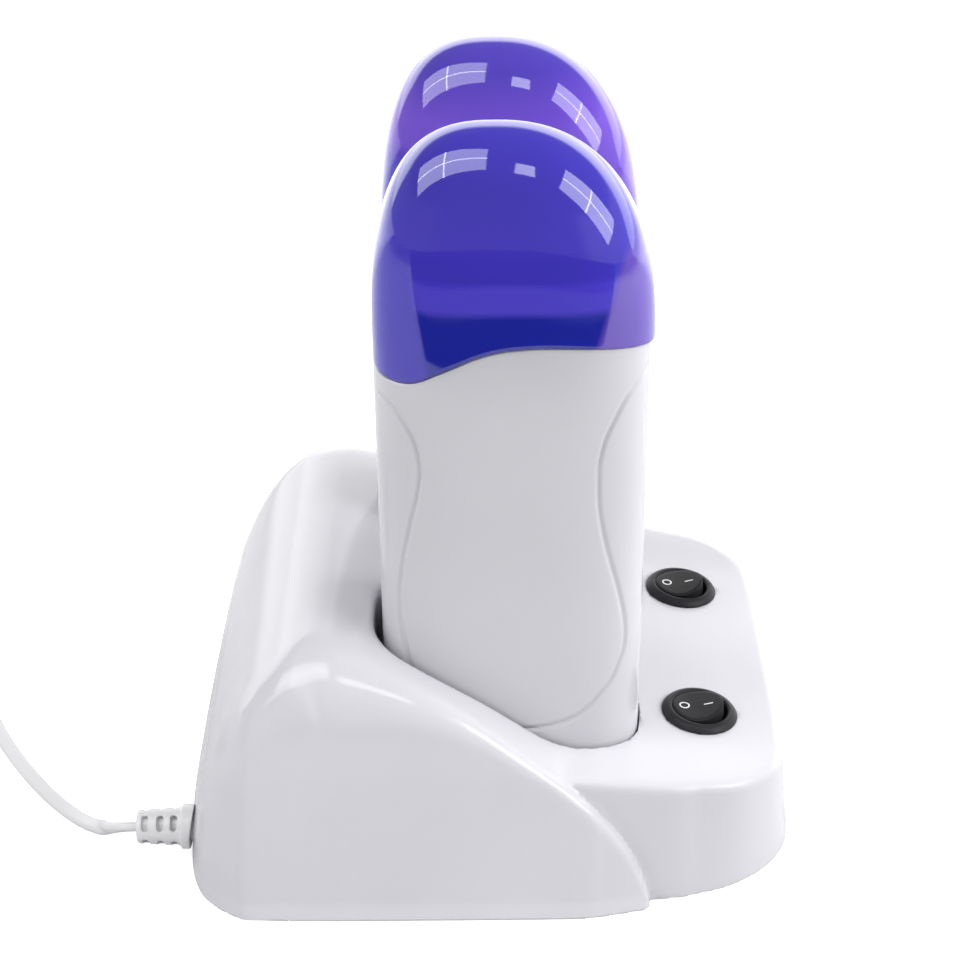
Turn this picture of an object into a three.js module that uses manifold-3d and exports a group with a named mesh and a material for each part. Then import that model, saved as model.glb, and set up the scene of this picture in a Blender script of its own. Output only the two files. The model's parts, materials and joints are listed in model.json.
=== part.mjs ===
// Double roll-on wax heater: a white base with two docked hand heaters,
// each under a translucent violet cap, two round rocker switches and a mains lead.
// Millimetres, +Z up, +X towards the switch end, +Y across the two heaters.
import * as THREE from "three";
import { mergeVertices } from "three/addons/utils/BufferGeometryUtils.js";
import Module from "manifold-3d";

const wasm = await Module();
wasm.setup();

// ---- driving dimensions ------------------------------------------------------
const HEATER_X = 7.5; // heater centre line along X
const PITCH = 66.6; // heater and switch pitch along Y
const HEATER_BOTTOM = 22; // underside of a docked heater
const HEATER_TOP = 216; // top of a docked heater with its cap on
const BODY_HX = 36.3; // half width of a heater body
const BODY_HY = 22.4; // half thickness of a heater body
const CAP_HX = 36.9; // half width of the cap skirt
const CAP_HY = 22.9; // half thickness of the cap skirt
const PLAN_N = 3.2; // roundness of the heater plan outline
const SHELL_T = 2.2; // heater shell wall
const CAP_T = 1.9; // cap wall
const GAP = 0.3; // running gap between separate pieces
const BASE_T = 2.6; // base shell wall
const BASE_REAR = -87.5; // rear foot of the base
const BASE_FRONT = 87.5; // front foot of the base
const BASE_HALF = 80.5; // half width of the base at the floor
const BASE_TOP = 76; // top of the rear hump
const DECK_Z = 35.9; // deck height at the switch centres
const DECK_TILT = 0.11; // fall of the deck towards the front
const SWITCH_X = 61.8; // switch centre along X
const BEZEL_R = 11; // rocker switch bezel radius
const ROCKER_R = 7.3; // rocker radius
const WELL_GAP_REAR = 2.4; // gap between a heater and its well, by side
const WELL_GAP_FRONT = 0.8;
const WELL_GAP_SIDE = 1.0;
const FLOOR_GAP = 0.8; // rim of the base above the table
const FOOT_R = 7;
const RELIEF_X = -84.6; // seat of the strain relief on the rear wall
const CORD_D = 4.4; // mains lead diameter
const CORD_Z = 11.5; // height of the lead entry
const CORD_Y = -53; // lead entry across the rear wall
const COIL_IN = 19.6; // inner radius of the coiled rest of the lead
const COIL_OUT = 33.2; // outer radius of the coil
const COIL_H = 9.3; // height of the coil
const COIL_POS = [-201, 40]; // centre of the coil
const PLUG_W = 35.3; // flat two-pin plug
const PLUG_T = 13.7;
const PIN_PITCH = 18.6;
const HY = PITCH / 2;

// ---- helpers -----------------------------------------------------------------
const group = new THREE.Group();
const mat = (color, roughness, metalness = 0, opacity = 1) =>
  new THREE.MeshStandardMaterial({ color, roughness, metalness, opacity, transparent: opacity < 1 });
const WHITE = mat(0xf1f0f5, 0.25);
const WHITE2 = mat(0xe9e8ee, 0.3);
const VIOLET = mat(0x3f2fb4, 0.15, 0, 0.85);
const BLACK = mat(0x1c1c1e, 0.45);
const RUBBER = mat(0x2b2b2d, 0.85);
const STEEL = mat(0xb9bcc0, 0.3, 1);
const BRASS = mat(0xc9a64a, 0.35, 1);
const ALU = mat(0xc8cacc, 0.35, 1);
const CERAMIC = mat(0xdedad0, 0.6);
const LEADMAT = mat(0xf0f0f2, 0.4);

function toM(geo) {
  const g = geo.clone();
  g.deleteAttribute("normal");
  g.deleteAttribute("uv");
  const m = mergeVertices(g, 1e-4);
  const index = m.index ? m.index.array : [...Array(m.attributes.position.count).keys()];
  const tris = [];
  for (let i = 0; i < index.length; i += 3) {
    const [a, b, c] = [index[i], index[i + 1], index[i + 2]];
    if (a !== b && b !== c && a !== c) tris.push(a, b, c);
  }
  return new wasm.Manifold(
    new wasm.Mesh({
      numProp: 3,
      vertProperties: new Float32Array(m.attributes.position.array),
      triVerts: new Uint32Array(tris),
    }),
  );
}
function fromM(man) {
  const mesh = man.getMesh();
  const g = new THREE.BufferGeometry();
  const pos = new Float32Array((mesh.vertProperties.length / mesh.numProp) * 3);
  for (let i = 0; i < pos.length / 3; i++)
    for (let k = 0; k < 3; k++) pos[3 * i + k] = mesh.vertProperties[mesh.numProp * i + k];
  g.setAttribute("position", new THREE.BufferAttribute(pos, 3));
  g.setIndex(new THREE.BufferAttribute(new Uint32Array(mesh.triVerts), 1));
  g.computeVertexNormals();
  return g;
}
const shape = (pts) => new THREE.Shape(pts.map((p) => new THREE.Vector2(p[0], p[1])));
function extrude(pts, z0, z1, steps = 1) {
  const g = new THREE.ExtrudeGeometry(shape(pts), { depth: z1 - z0, bevelEnabled: false, steps, curveSegments: 1 });
  g.translate(0, 0, z0);
  return g;
}
// profile given as (x, z) points, running along Y from y0 to y1
function extrudeY(pts, y0, y1) {
  const g = new THREE.ExtrudeGeometry(shape(pts), { depth: y1 - y0, bevelEnabled: false, steps: 1, curveSegments: 1 });
  g.rotateX(Math.PI / 2);
  g.translate(0, y1, 0);
  return g;
}
function warp(geo, fn) {
  const p = geo.attributes.position;
  for (let i = 0; i < p.count; i++) {
    const r = fn(p.getX(i), p.getY(i), p.getZ(i));
    p.setXYZ(i, r[0], r[1], r[2]);
  }
  return geo;
}
const box = (x0, x1, y0, y1, z0, z1) => {
  const g = new THREE.BoxGeometry(x1 - x0, y1 - y0, z1 - z0);
  g.translate((x0 + x1) / 2, (y0 + y1) / 2, (z0 + z1) / 2);
  return g;
};
function lathe(pts, seg = 24) {
  const g = new THREE.LatheGeometry(pts.map((p) => new THREE.Vector2(p[0], p[1])), seg);
  g.rotateX(Math.PI / 2); // axis to +Z
  return g;
}
const cyl = (r, z0, z1, x = 0, y = 0, seg = 24) => {
  const g = new THREE.CylinderGeometry(r, r, z1 - z0, seg);
  g.rotateX(Math.PI / 2);
  g.translate(x, y, (z0 + z1) / 2);
  return g;
};
function superellipse(hx, hy, n, seg) {
  const pts = [];
  for (let i = 0; i < seg; i++) {
    const t = (i / seg) * 2 * Math.PI;
    const c = Math.cos(t);
    const s = Math.sin(t);
    pts.push([hx * Math.sign(c) * Math.abs(c) ** (2 / n), hy * Math.sign(s) * Math.abs(s) ** (2 / n)]);
  }
  return pts;
}
// solid through superellipse rings; rings = [z, half x, half y]
function loft(rings, n, seg) {
  const g = extrude(superellipse(1, 1, n, seg), 0, rings.length - 1, rings.length - 1);
  return warp(g, (x, y, z) => {
    const r = rings[Math.round(z)];
    return [x * r[1], y * r[2], r[0]];
  });
}
function interp(table, v) {
  if (v <= table[0][0]) return table[0][1];
  for (let i = 1; i < table.length; i++)
    if (v <= table[i][0]) {
      const f = (v - table[i - 1][0]) / (table[i][0] - table[i - 1][0]);
      return table[i - 1][1] + f * (table[i][1] - table[i - 1][1]);
    }
  return table[table.length - 1][1];
}
function offset(pts, d) {
  const n = pts.length;
  let area = 0;
  for (let i = 0; i < n; i++) {
    const a = pts[i];
    const b = pts[(i + 1) % n];
    area += a[0] * b[1] - b[0] * a[1];
  }
  const s = Math.sign(area);
  return pts.map((p, i) => {
    const a = pts[(i + n - 1) % n];
    const b = pts[(i + 1) % n];
    const u = [p[0] - a[0], p[1] - a[1]];
    const v = [b[0] - p[0], b[1] - p[1]];
    const lu = Math.hypot(...u);
    const lv = Math.hypot(...v);
    const n1 = [(u[1] / lu) * s, (-u[0] / lu) * s];
    const n2 = [(v[1] / lv) * s, (-v[0] / lv) * s];
    const k = 1 + n1[0] * n2[0] + n1[1] * n2[1];
    return [p[0] + ((n1[0] + n2[0]) / Math.max(k, 0.4)) * d, p[1] + ((n1[1] + n2[1]) / Math.max(k, 0.4)) * d];
  });
}
function add(name, geometry, material, at = [0, 0, 0], parent = group) {
  const m = new THREE.Mesh(geometry, material);
  m.name = name;
  m.position.set(at[0], at[1], at[2]);
  parent.add(m);
  return m;
}

// ---- base shell ----------------------------------------------------------------
// side profile of the rear body: rear wall, hump, falling S line to the deck
const BODY_PROFILE = [
  [-87.5, 0], [-86.2, 14], [-83.4, 26], [-79.2, 40], [-75, 49.4], [-68.5, 59.2], [-60, 68.2], [-52.5, 74.2], [-46, 76],
  [-40, 75.2], [-29.5, 71.5], [-16.5, 66], [-2.5, 58], [10.5, 48.5], [22.5, 39], [31, 30.5], [38.1, 20.5], [44.1, 7], [45.7, 0],
];
const REAR = BODY_PROFILE.slice(0, 9).map((p) => [p[1], p[0] + 87.5]);
const PLAN_HALF = [
  [-87.5, 0], [-87.1, 30], [-86, 45], [-84.6, 56.4], [-81.9, 65.2], [-77.8, 71.7], [-69.8, 78.2], [-62.1, 80.2],
  [-13.3, 80.5], [24.4, 80.3], [32.3, 79.4], [39.9, 77.8], [47, 76],
];
const mirrorPlan = (half) => [
  ...half.map((p) => [p[0], -p[1]]),
  ...half.slice().reverse().filter((p) => p[1] > 0).map((p) => [p[0], p[1]]),
];
// cross profile (y, z) of the rear body with rounded shoulders
const CROSS_HALF = [[80.9, -4], [77.8, 22], [74.6, 44], [72.6, 53.5], [70, 62], [66, 69], [60.4, 73.6], [53.5, 75.8], [46, 76.2]];
const crossPlan = [...CROSS_HALF.map((p) => [p[0], p[1]]), ...CROSS_HALF.slice().reverse().map((p) => [-p[0], p[1]])];
const DECK = (x) => DECK_Z - DECK_TILT * (x - SWITCH_X);
const FRONT_PROFILE = [
  [0, 0], [0, DECK(0) - 0.5], [26, DECK(26) - 0.2], [79.5, DECK(79.5)], [82.4, DECK(82.4) - 0.9], [83.9, DECK(83.9) - 3.2], [87.5, 0],
];
const FRONT_HALF = [[0, 73.6], [46.3, 73.2], [60.2, 70.4], [69.8, 67], [78.8, 60], [84, 52.5], [86.6, 43.5], [87.5, 30]];
function smooth(a, b, v) {
  const t = Math.min(1, Math.max(0, (v - a) / (b - a)));
  return t * t * (3 - 2 * t);
}
function rearBody(inset, z0) {
  const side = toM(extrudeY(inset ? offset(BODY_PROFILE, -inset) : BODY_PROFILE, -90, 90));
  let plan = extrude(inset ? offset(mirrorPlan(PLAN_HALF), -inset) : mirrorPlan(PLAN_HALF), z0, 80, 8);
  plan = warp(plan, (x, y, z) => {
    const w = 1 - smooth(BASE_REAR + 2, BASE_REAR + 34, x);
    const lean = interp(REAR, Math.max(z, 0)) * 0.55;
    return [x + w * lean * (Math.abs(y) > 40 ? 1 : Math.abs(y) / 40), y, z];
  });
  let cross = new THREE.ExtrudeGeometry(shape(inset ? offset(crossPlan, -inset) : crossPlan), { depth: 200, bevelEnabled: false, steps: 1 });
  // (y, z) profile swept along X
  cross = warp(cross, (x, y, z) => [z - 100, x, y]);
  return toM(plan).intersect(toM(cross)).intersect(side.translate([0, 0, z0 < 0 ? z0 * 0 : 0]));
}
function frontBody(inset, z0) {
  const side = toM(extrudeY(inset ? offset(FRONT_PROFILE, -inset) : FRONT_PROFILE, -90, 90));
  let plan = extrude(inset ? offset(mirrorPlan(FRONT_HALF), -inset) : mirrorPlan(FRONT_HALF), z0, 44, 1);
  plan = warp(plan, (x, y, z) => [x - (x > 60 ? 4 : 0) * Math.max(0, z / 34), y * (1 - 0.062 * Math.max(0, z / 34)), z]);
  return toM(plan).intersect(side);
}
const plate = (z0, z1) => toM(box(-120, 120, -120, 120, z0, z1));
const WELL_SHIFT = (WELL_GAP_FRONT - WELL_GAP_REAR) / 2;
const wellOutline = (extra) =>
  superellipse(BODY_HX + (WELL_GAP_FRONT + WELL_GAP_REAR) / 2 + extra, BODY_HY + WELL_GAP_SIDE + extra, PLAN_N, 36).map(([x, y]) => [x + WELL_SHIFT, y]);
const rear = rearBody(0, 0);
const front = frontBody(0, 0);
let outer = rear.add(front);
const inner = rearBody(BASE_T, 0).add(frontBody(BASE_T, 0)).add(toM(box(-60, 60, -64, 64, -1, 12)));
const rimCut = plate(-5, FLOOR_GAP);
// open the hollow through the bottom rim
const mouth = toM(extrude(offset(mirrorPlan(PLAN_HALF), -BASE_T), -2, BASE_T + 1.5)).add(
  toM(extrude(offset(mirrorPlan(FRONT_HALF), -BASE_T), -2, BASE_T + 1.5)),
);
let shell = outer.subtract(inner).subtract(mouth).subtract(rimCut);
const WELL_FLOOR = 16.2;
for (const s of [-1, 1]) {
  const at = [HEATER_X, s * HY, 0];
  const sleeve = toM(extrude(wellOutline(2.2), WELL_FLOOR - 2.2, 90)).translate(at).intersect(outer);
  const bore = toM(extrude(wellOutline(0), WELL_FLOOR, 95)).translate(at);
  shell = shell.add(sleeve).subtract(bore);
  shell = shell.subtract(toM(box(-12.6, 12.6, -6.6, 6.6, 5, 25)).translate(at));
}
// screw posts
const POSTS = [[-62, -58], [-62, 58], [66, -52], [66, 52]];
for (const [x, y] of POSTS) {
  const post = toM(cyl(4, 5, 60, x, y, 16)).intersect(outer);
  shell = shell.add(post).subtract(toM(cyl(1.5, 0, 20, x, y, 12)));
}
// switch holes, square to the tilted deck
const TILT = Math.atan(DECK_TILT);
const rot = (TILT * 180) / Math.PI;
const deckAt = (s) => [SWITCH_X, s * HY, DECK_Z];
for (const s of [-1, 1])
  shell = shell.subtract(toM(cyl(10, -8, 8)).rotate([0, rot, 0]).translate(deckAt(s)));
// lead entry
const entry = new THREE.CylinderGeometry(4.3, 4.3, 30, 20);
entry.rotateZ(Math.PI / 2);
entry.translate(-86, CORD_Y, CORD_Z);
const spot = new THREE.CylinderGeometry(6.6, 6.6, 20, 24);
spot.rotateZ(Math.PI / 2);
spot.translate(RELIEF_X - 10, CORD_Y, CORD_Z);
shell = shell.subtract(toM(entry)).subtract(toM(spot));
const parts = shell.decompose();
parts.sort((a, b) => b.volume() - a.volume());
add("base_top_shell", fromM(parts[0]), WHITE);

// bottom plate
let plateSolid = toM(extrude(offset(mirrorPlan(PLAN_HALF), -BASE_T - GAP), 1.4, 3.6)).add(
  toM(extrude(offset(mirrorPlan(FRONT_HALF), -BASE_T - GAP), 1.4, 3.6)),
);
for (const [x, y] of POSTS) {
  plateSolid = plateSolid.subtract(toM(cyl(1.7, -1, 6, x, y, 12))).subtract(toM(cyl(3.4, 0, 2.6, x, y, 16)));
}
const FEET = [[-60, -40], [-60, 40], [62, -34], [62, 34]];
for (const [x, y] of FEET) plateSolid = plateSolid.subtract(toM(cyl(3.3, 0, 6, x, y, 16)));
add("base_bottom_plate", fromM(plateSolid), WHITE2);
const FOOT_NAMES = ["foot_rear_near", "foot_rear_far", "foot_front_near", "foot_front_far"];
FEET.forEach(([x, y], i) => {
  add(FOOT_NAMES[i], lathe([[0, 0], [FOOT_R - 0.6, 0], [FOOT_R, 0.5], [FOOT_R, 1.3], [3, 1.3], [3, 3.7], [3.6, 3.9], [3.2, 4.6], [0, 4.6]], 12), RUBBER, [x, y, 0]);
});
const SCREW_NAMES = ["base_screw_rear_near", "base_screw_rear_far", "base_screw_front_near", "base_screw_front_far"];
POSTS.forEach(([x, y], i) => {
  add(SCREW_NAMES[i], lathe([[0, 1.5], [0.9, 0.9 + 0.6], [0.9, 1.0], [3, 1.0], [3, 2.3], [1.2, 2.5], [1.2, 14], [0, 15.2]], 10), STEEL, [x, y, 0]);
});

// ---- dock blocks and contact pins ---------------------------------------------
for (const [side, s] of [["near", -1], ["far", 1]]) {
  let block = toM(box(-12, 12, -6, 6, 10, 19.5)).add(toM(box(-15, 15, -9, 9, 9, WELL_FLOOR - 2.5)));
  for (const dx of [-6, 6]) block = block.subtract(toM(cyl(1.9, 0, 30, dx, 0, 16)));
  add(`dock_socket_${side}`, fromM(block), BLACK, [HEATER_X, s * HY, 0]);
  for (const [pn, dx] of [["a", -6], ["b", 6]])
    add(`contact_pin_${side}_${pn}`, lathe([[0, 6], [1.5, 6], [1.5, 27.2], [0.7, 28.4], [0, 28.4]], 12), BRASS, [HEATER_X + dx, s * HY, 0]);
}

// ---- rocker switches ------------------------------------------------------------
for (const [side, s] of [["near", -1], ["far", 1]]) {
  const tilt = new THREE.Group();
  tilt.position.set(...deckAt(s));
  tilt.rotation.set(0, TILT, 0);
  group.add(tilt);
  add(
    `switch_housing_${side}`,
    lathe([[0, -15], [9.6, -15], [9.6, 0.05], [BEZEL_R, 0.05], [BEZEL_R, 0.9], [9.9, 2.1], [8.5, 2.2], [8.1, 1.9], [8.1, -2.4], [8.8, -3], [8.8, -13], [0, -13]], 24),
    BLACK, [0, 0, 0], tilt,
  );
  const a = (11.5 * Math.PI) / 180; // rest position: far end of the rocker raised
  const prof = [[-7.4, -5.5], [7.4, -5.5], [7.4, 4.9], [3.8, 3.7], [0, 3.35], [-3.8, 3.7], [-7.4, 4.9]];
  let rocker = toM(extrudeY(prof, -8, 8)).intersect(
    toM(lathe([[0, -6], [6.4, -6], [6.6, -1], [ROCKER_R, 0.5], [ROCKER_R, 6], [0, 6]], 32)),
  );
  rocker = rocker.rotate([0, (-a * 180) / Math.PI, 0]);
  add(`rocker_${side}`, fromM(rocker), BLACK, [0, 0, -1.1], tilt);
  for (const [tn, dx] of [["in", 5], ["out", -5]])
    add(`switch_terminal_${side}_${tn}`, box(dx - 0.4, dx + 0.4, -2.4, 2.4, -23, -15.3), BRASS, [0, 0, 0], tilt);
}

// ---- terminal block and inner leads -----------------------------------------------
add("mains_terminal_block", fromM(toM(box(-8, 8, -10, 10, 0, 12)).subtract(toM(cyl(2, -1, 20, 0, -5, 12))).subtract(toM(cyl(2, -1, 20, 0, 5, 12)))), WHITE2, [-58, -24, 4.2]);
function tube(points, r, sides, steps, closed = false) {
  const curve = new THREE.CatmullRomCurve3(points.map((p) => new THREE.Vector3(...p)), closed, "centripetal");
  const pts = [];
  for (let i = 0; i < sides; i++) pts.push([r * Math.cos((i / sides) * 2 * Math.PI), r * Math.sin((i / sides) * 2 * Math.PI)]);
  return new THREE.ExtrudeGeometry(shape(pts), { steps, bevelEnabled: false, extrudePath: curve });
}
const LEADR = 1.1;
add("inner_lead_switch_near", tube([[-49, -29, 7.5], [-40, -31, 6.6], [0, -44.5, 6.4], [45, -46, 6.2], [59, -41, 7]], LEADR, 8, 14), LEADMAT);
add("inner_lead_switch_far", tube([[-49, -17, 12], [-40, -8, 6.6], [0, 18, 6.4], [45, 22, 6.2], [59, 27, 7]], LEADR, 8, 14), LEADMAT);
add("inner_lead_dock_near", tube([[-49, -23, 10], [-40, -25, 9], [-22, -33, 7.5], [-7, -HY - 1, 7.3]], LEADR, 8, 8), LEADMAT);
add("inner_lead_dock_far", tube([[-58, -13, 8], [-53, -3, 7.5], [-35, 22, 7.5], [-7, HY + 1, 7.3]], LEADR, 8, 10), LEADMAT);

// ---- strain relief, lead, coil and plug ---------------------------------------------
// outer taper, flange on the wall, neck through the wall and inner grip flange
const reliefProfile = [
  [0, -16], [3.2, -16], [4.1, -15], [4.3, -3.2], [5.7, -2.6], [5.7, -0.1], [3.9, 0.1], [3.9, 6.2], [5.4, 6.4], [5.4, 8], [0, 8],
];
const relief = lathe(reliefProfile, 18);
relief.rotateY(Math.PI / 2);
add("strain_relief", relief, LEADMAT, [RELIEF_X - 0.15, CORD_Y, CORD_Z]);
const EXIT_X = RELIEF_X - 0.15 - 16;
add(
  "mains_lead",
  tube(
    [
      [EXIT_X - 0.8, CORD_Y, CORD_Z], [EXIT_X - 3.5, CORD_Y + 0.05, CORD_Z - 0.1], [EXIT_X - 8, CORD_Y + 2.2, 8.4], [EXIT_X - 15, CORD_Y + 9.5, 3.6],
      [-122, -36, 2.4], [-130, -27.5, 2.4], [-141.5, -11.5, 2.4], [-152.5, 7, 2.4], [-160.5, 24, 2.4], [COIL_POS[0] + COIL_OUT + CORD_D / 2 + 0.35, COIL_POS[1] - 1, 2.4],
    ],
    CORD_D / 2, 8, 18,
  ),
  LEADMAT,
);
add("mains_lead_coil", lathe([[COIL_IN, 0.2], [COIL_OUT, 0.2], [COIL_OUT, COIL_H], [COIL_IN, COIL_H], [COIL_IN, 0.2]], 28), LEADMAT, [COIL_POS[0], COIL_POS[1], 0]);
// flat plug lying on the coil, pins towards -Y
const PLUG_HALF = [[0, 16.6], [1.2, PLUG_W / 2], [15, PLUG_W / 2], [24, 11.5], [33, 6.2], [38, 4.4], [52, 3.3]];
let plug = extrude([...PLUG_HALF.map((p) => [p[0], -p[1]]), ...PLUG_HALF.slice().reverse()], -PLUG_T / 2, PLUG_T / 2);
plug = warp(plug, (x, y, z) => [x, y, z * (1 - 0.55 * smooth(18, 40, x))]);
const plugUnit = new THREE.Group();
plugUnit.position.set(COIL_POS[0] - 17.6, COIL_POS[1] - 36.6, COIL_H + 0.3 + PLUG_T / 2);
plugUnit.rotation.set(0, 0, Math.PI / 2);
group.add(plugUnit);
add("plug_body", plug, LEADMAT, [0, 0, 0], plugUnit);
for (const [pn, s] of [["a", -1], ["b", 1]]) {
  const pin = lathe([[0, 0.3], [2, 0.3], [2, 18.2], [1.3, 19], [0, 19]], 12);
  pin.rotateY(-Math.PI / 2);
  add(`plug_pin_${pn}`, pin, STEEL, [0, (s * PIN_PITCH) / 2, 0], plugUnit);
}

// ---- heaters ------------------------------------------------------------------------
// wavy parting line between body and cap, as (x, z)
const SEAM = [
  [-45, 153.4], [-35.7, 153.2], [-28.7, 152.9], [-24.1, 153.9], [-17.1, 157.7], [-10.2, 161.2], [-3.2, 163.4],
  [5, 164.3], [11, 164.2], [23.1, 163.3], [31.5, 162.1], [36.5, 159.7], [45, 156],
];
const below = (dz) => toM(extrudeY([[-45, 0], [45, 0], ...SEAM.slice().reverse().map((p) => [p[0], p[1] + dz])], -40, 40));
const BODY_RINGS = [[22, 0.9], [23.2, 0.955], [26, 0.99], [60, 1], [105, 0.99], [176, 1.0]];
const bodySolid = (inset, z0, z1) =>
  loft(
    BODY_RINGS.map(([z, k]) => [z <= 22 ? z0 : z >= 176 ? z1 : z + (z < 28 ? inset * 0.9 : 0), BODY_HX * k - inset, BODY_HY * k - inset]),
    PLAN_N, 32,
  );
const CAP_RINGS = [[148, 36.9], [165, 36.9], [178.6, 35.9], [188.4, 34.1], [197, 31.6], [203.7, 28.2], [209.4, 22.6], [213.2, 14.6], [216, 5]];
const capSolid = (inset) =>
  loft(
    CAP_RINGS.map(([z, hx]) => {
      const k = hx / 36.9;
      const hz = 148 + ((z - 148) * (HEATER_TOP - 148 - inset)) / (HEATER_TOP - 148);
      return [z <= 148 ? 148 : inset ? hz : z, Math.max(hx - inset, 1.2), Math.max(CAP_HY * k ** 0.85 - inset, 1)];
    }),
    2.9, 32,
  );
const CHAMBER_Z0 = 62;
const NECK_TOP = 184;
for (const [side, s] of [["near", -1], ["far", 1]]) {
  const at = [HEATER_X, s * HY, 0];
  const unit = new THREE.Group();
  unit.position.set(...at);
  group.add(unit);
  // body halves, split on the middle plane, face half towards -Y
  let hollow = toM(bodySolid(0, 22, 176)).intersect(below(-0.15));
  hollow = hollow.subtract(toM(bodySolid(SHELL_T, 22 + SHELL_T, 190)));
  hollow = hollow.subtract(toM(box(-13.6, 13.6, -7.6, 7.6, 18, 40)));
  for (const [half, sy, hz] of [["front", -1, 1], ["back", 1, -1]]) {
    const keep = toM(sy < 0 ? box(-50, 50, -40, -0.15, 0, 220) : box(-50, 50, 0.15, 40, 0, 220));
    let h = hollow.intersect(keep);
    // posts for the two closing screws
    for (const px of [-29.5, 29.5]) {
      let post = new THREE.CylinderGeometry(2.6, 2.6, 14.5, 12);
      post.translate(px, sy * (0.15 + 7.25), 46);
      h = h.add(toM(post));
      const bore = new THREE.CylinderGeometry(1.3, 1.3, sy > 0 ? 60 : 24, 10);
      bore.translate(px, sy > 0 ? 12 : 0, 46);
      h = h.subtract(toM(bore));
      if (sy > 0) {
        const head = new THREE.CylinderGeometry(2.1, 2.1, 30, 12);
        head.translate(px, 10.6 + 15, 46);
        const reach = new THREE.CylinderGeometry(3.4, 3.4, 6, 14);
        reach.translate(px, 14, 46);
        h = h.add(toM(reach).intersect(toM(bodySolid(0, 22, 176)))).subtract(toM(head));
      }
    }
    add(`heater_${side}_${half}_shell`, fromM(h), half === "front" ? WHITE : WHITE2, [0, 0, 0], unit);
  }
  // neck ring that carries the cap
  const ring = toM(loft([[146, 32.4, 18.6], [149, 32.8, 19], [174, 32.8, 19], [NECK_TOP, 30.8, 17.4]], PLAN_N, 28)).subtract(
    toM(loft([[140, 28.6, 15.9 + 0.9], [178, 28.6, 16.8], [190, 28, 15.8]], 3.6, 24)),
  );
  add(`heater_${side}_neck_ring`, fromM(ring), WHITE2, [0, 0, 0], unit);
  // aluminium chamber for the cartridge
  const chamber = toM(loft([[CHAMBER_Z0, 28.2, 16.4], [177, 28.2, 16.4]], 3.6, 24)).subtract(toM(loft([[CHAMBER_Z0 + 1.4, 27, 15.2], [190, 27, 15.2]], 3.6, 24)));
  add(`heater_${side}_chamber`, fromM(chamber), ALU, [0, 0, 0], unit);
  add(`heater_${side}_ptc_heater`, box(-18, 18, -12, 12, CHAMBER_Z0 - 5.3, CHAMBER_Z0 - 0.3), CERAMIC, [0, 0, 0], unit);
  const cut = new THREE.CylinderGeometry(4, 4, 20, 16);
  cut.rotateZ(Math.PI / 2);
  cut.translate(0, 0, CHAMBER_Z0 - 9.7);
  add(`heater_${side}_thermal_cutout`, cut, STEEL, [0, 0, 0], unit);
  let inlet = toM(box(-13.2, 13.2, -7.2, 7.2, 22.4, 36)).add(toM(box(-16, 16, -10, 10, 26, 32)));
  for (const dx of [-6, 6]) inlet = inlet.subtract(toM(cyl(2, 10, 31, dx, 0, 16)));
  add(`heater_${side}_inlet`, fromM(inlet), BLACK, [0, 0, 0], unit);
  for (const [sn, px] of [["left", -29.5], ["right", 29.5]]) {
    const screw = lathe([[0, -8.6], [1, -7.6], [1, 10.9], [1.9, 10.9], [1.9, 12.4], [0, 12.4]], 10);
    screw.rotateX(-Math.PI / 2); // local +Z to +Y
    add(`heater_${side}_screw_${sn}`, screw, STEEL, [px, 0, 46], unit);
  }
  // translucent cap over the neck
  const cap = toM(capSolid(0)).subtract(below(0.15)).subtract(toM(capSolid(CAP_T)).subtract(toM(box(-50, 50, -50, 50, 214.2, 230))));
  add(`cap_${side}`, fromM(cap), VIOLET, [0, 0, 0], unit);
}

export default group;
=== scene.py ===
import bmesh
import bpy
import json
import math
import numpy as np
from mathutils import Matrix, Vector

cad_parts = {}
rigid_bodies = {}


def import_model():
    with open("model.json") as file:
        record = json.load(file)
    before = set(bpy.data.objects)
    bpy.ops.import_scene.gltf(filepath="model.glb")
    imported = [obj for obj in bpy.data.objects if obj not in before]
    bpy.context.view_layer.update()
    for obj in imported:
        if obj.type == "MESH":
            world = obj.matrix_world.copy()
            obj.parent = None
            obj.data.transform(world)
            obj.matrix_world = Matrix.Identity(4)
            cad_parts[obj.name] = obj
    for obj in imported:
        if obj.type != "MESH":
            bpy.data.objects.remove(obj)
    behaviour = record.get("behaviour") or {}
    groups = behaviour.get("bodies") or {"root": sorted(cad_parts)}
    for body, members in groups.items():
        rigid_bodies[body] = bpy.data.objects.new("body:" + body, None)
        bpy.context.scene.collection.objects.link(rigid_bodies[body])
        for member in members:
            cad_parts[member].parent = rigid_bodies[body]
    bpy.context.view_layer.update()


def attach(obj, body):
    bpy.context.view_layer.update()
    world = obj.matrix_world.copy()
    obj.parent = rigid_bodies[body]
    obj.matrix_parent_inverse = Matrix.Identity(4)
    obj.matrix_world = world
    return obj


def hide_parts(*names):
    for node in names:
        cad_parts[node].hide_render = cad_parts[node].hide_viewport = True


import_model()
MM = 0.001

# ---- dimensions shared with the CAD (millimetres) --------------------------------
HEATER_X = 7.5
HY = 33.3
BODY_HX, BODY_HY, PLAN_N = 36.3, 22.4, 3.2
CAP_HX, CAP_HY = 36.9, 22.9
TOP_Z = 216.0
BOTTOM_Z = 22.0
SHELL_T, CAP_T = 2.2, 1.9
SWITCH_X, DECK_Z, DECK_TILT = 61.8, 35.9, 0.11
RELIEF_X, CORD_Y, CORD_Z = -84.6, -53.0, 11.5
COIL_X, COIL_Y = -201.0, 40.0
TILT = math.atan(DECK_TILT)

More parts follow.
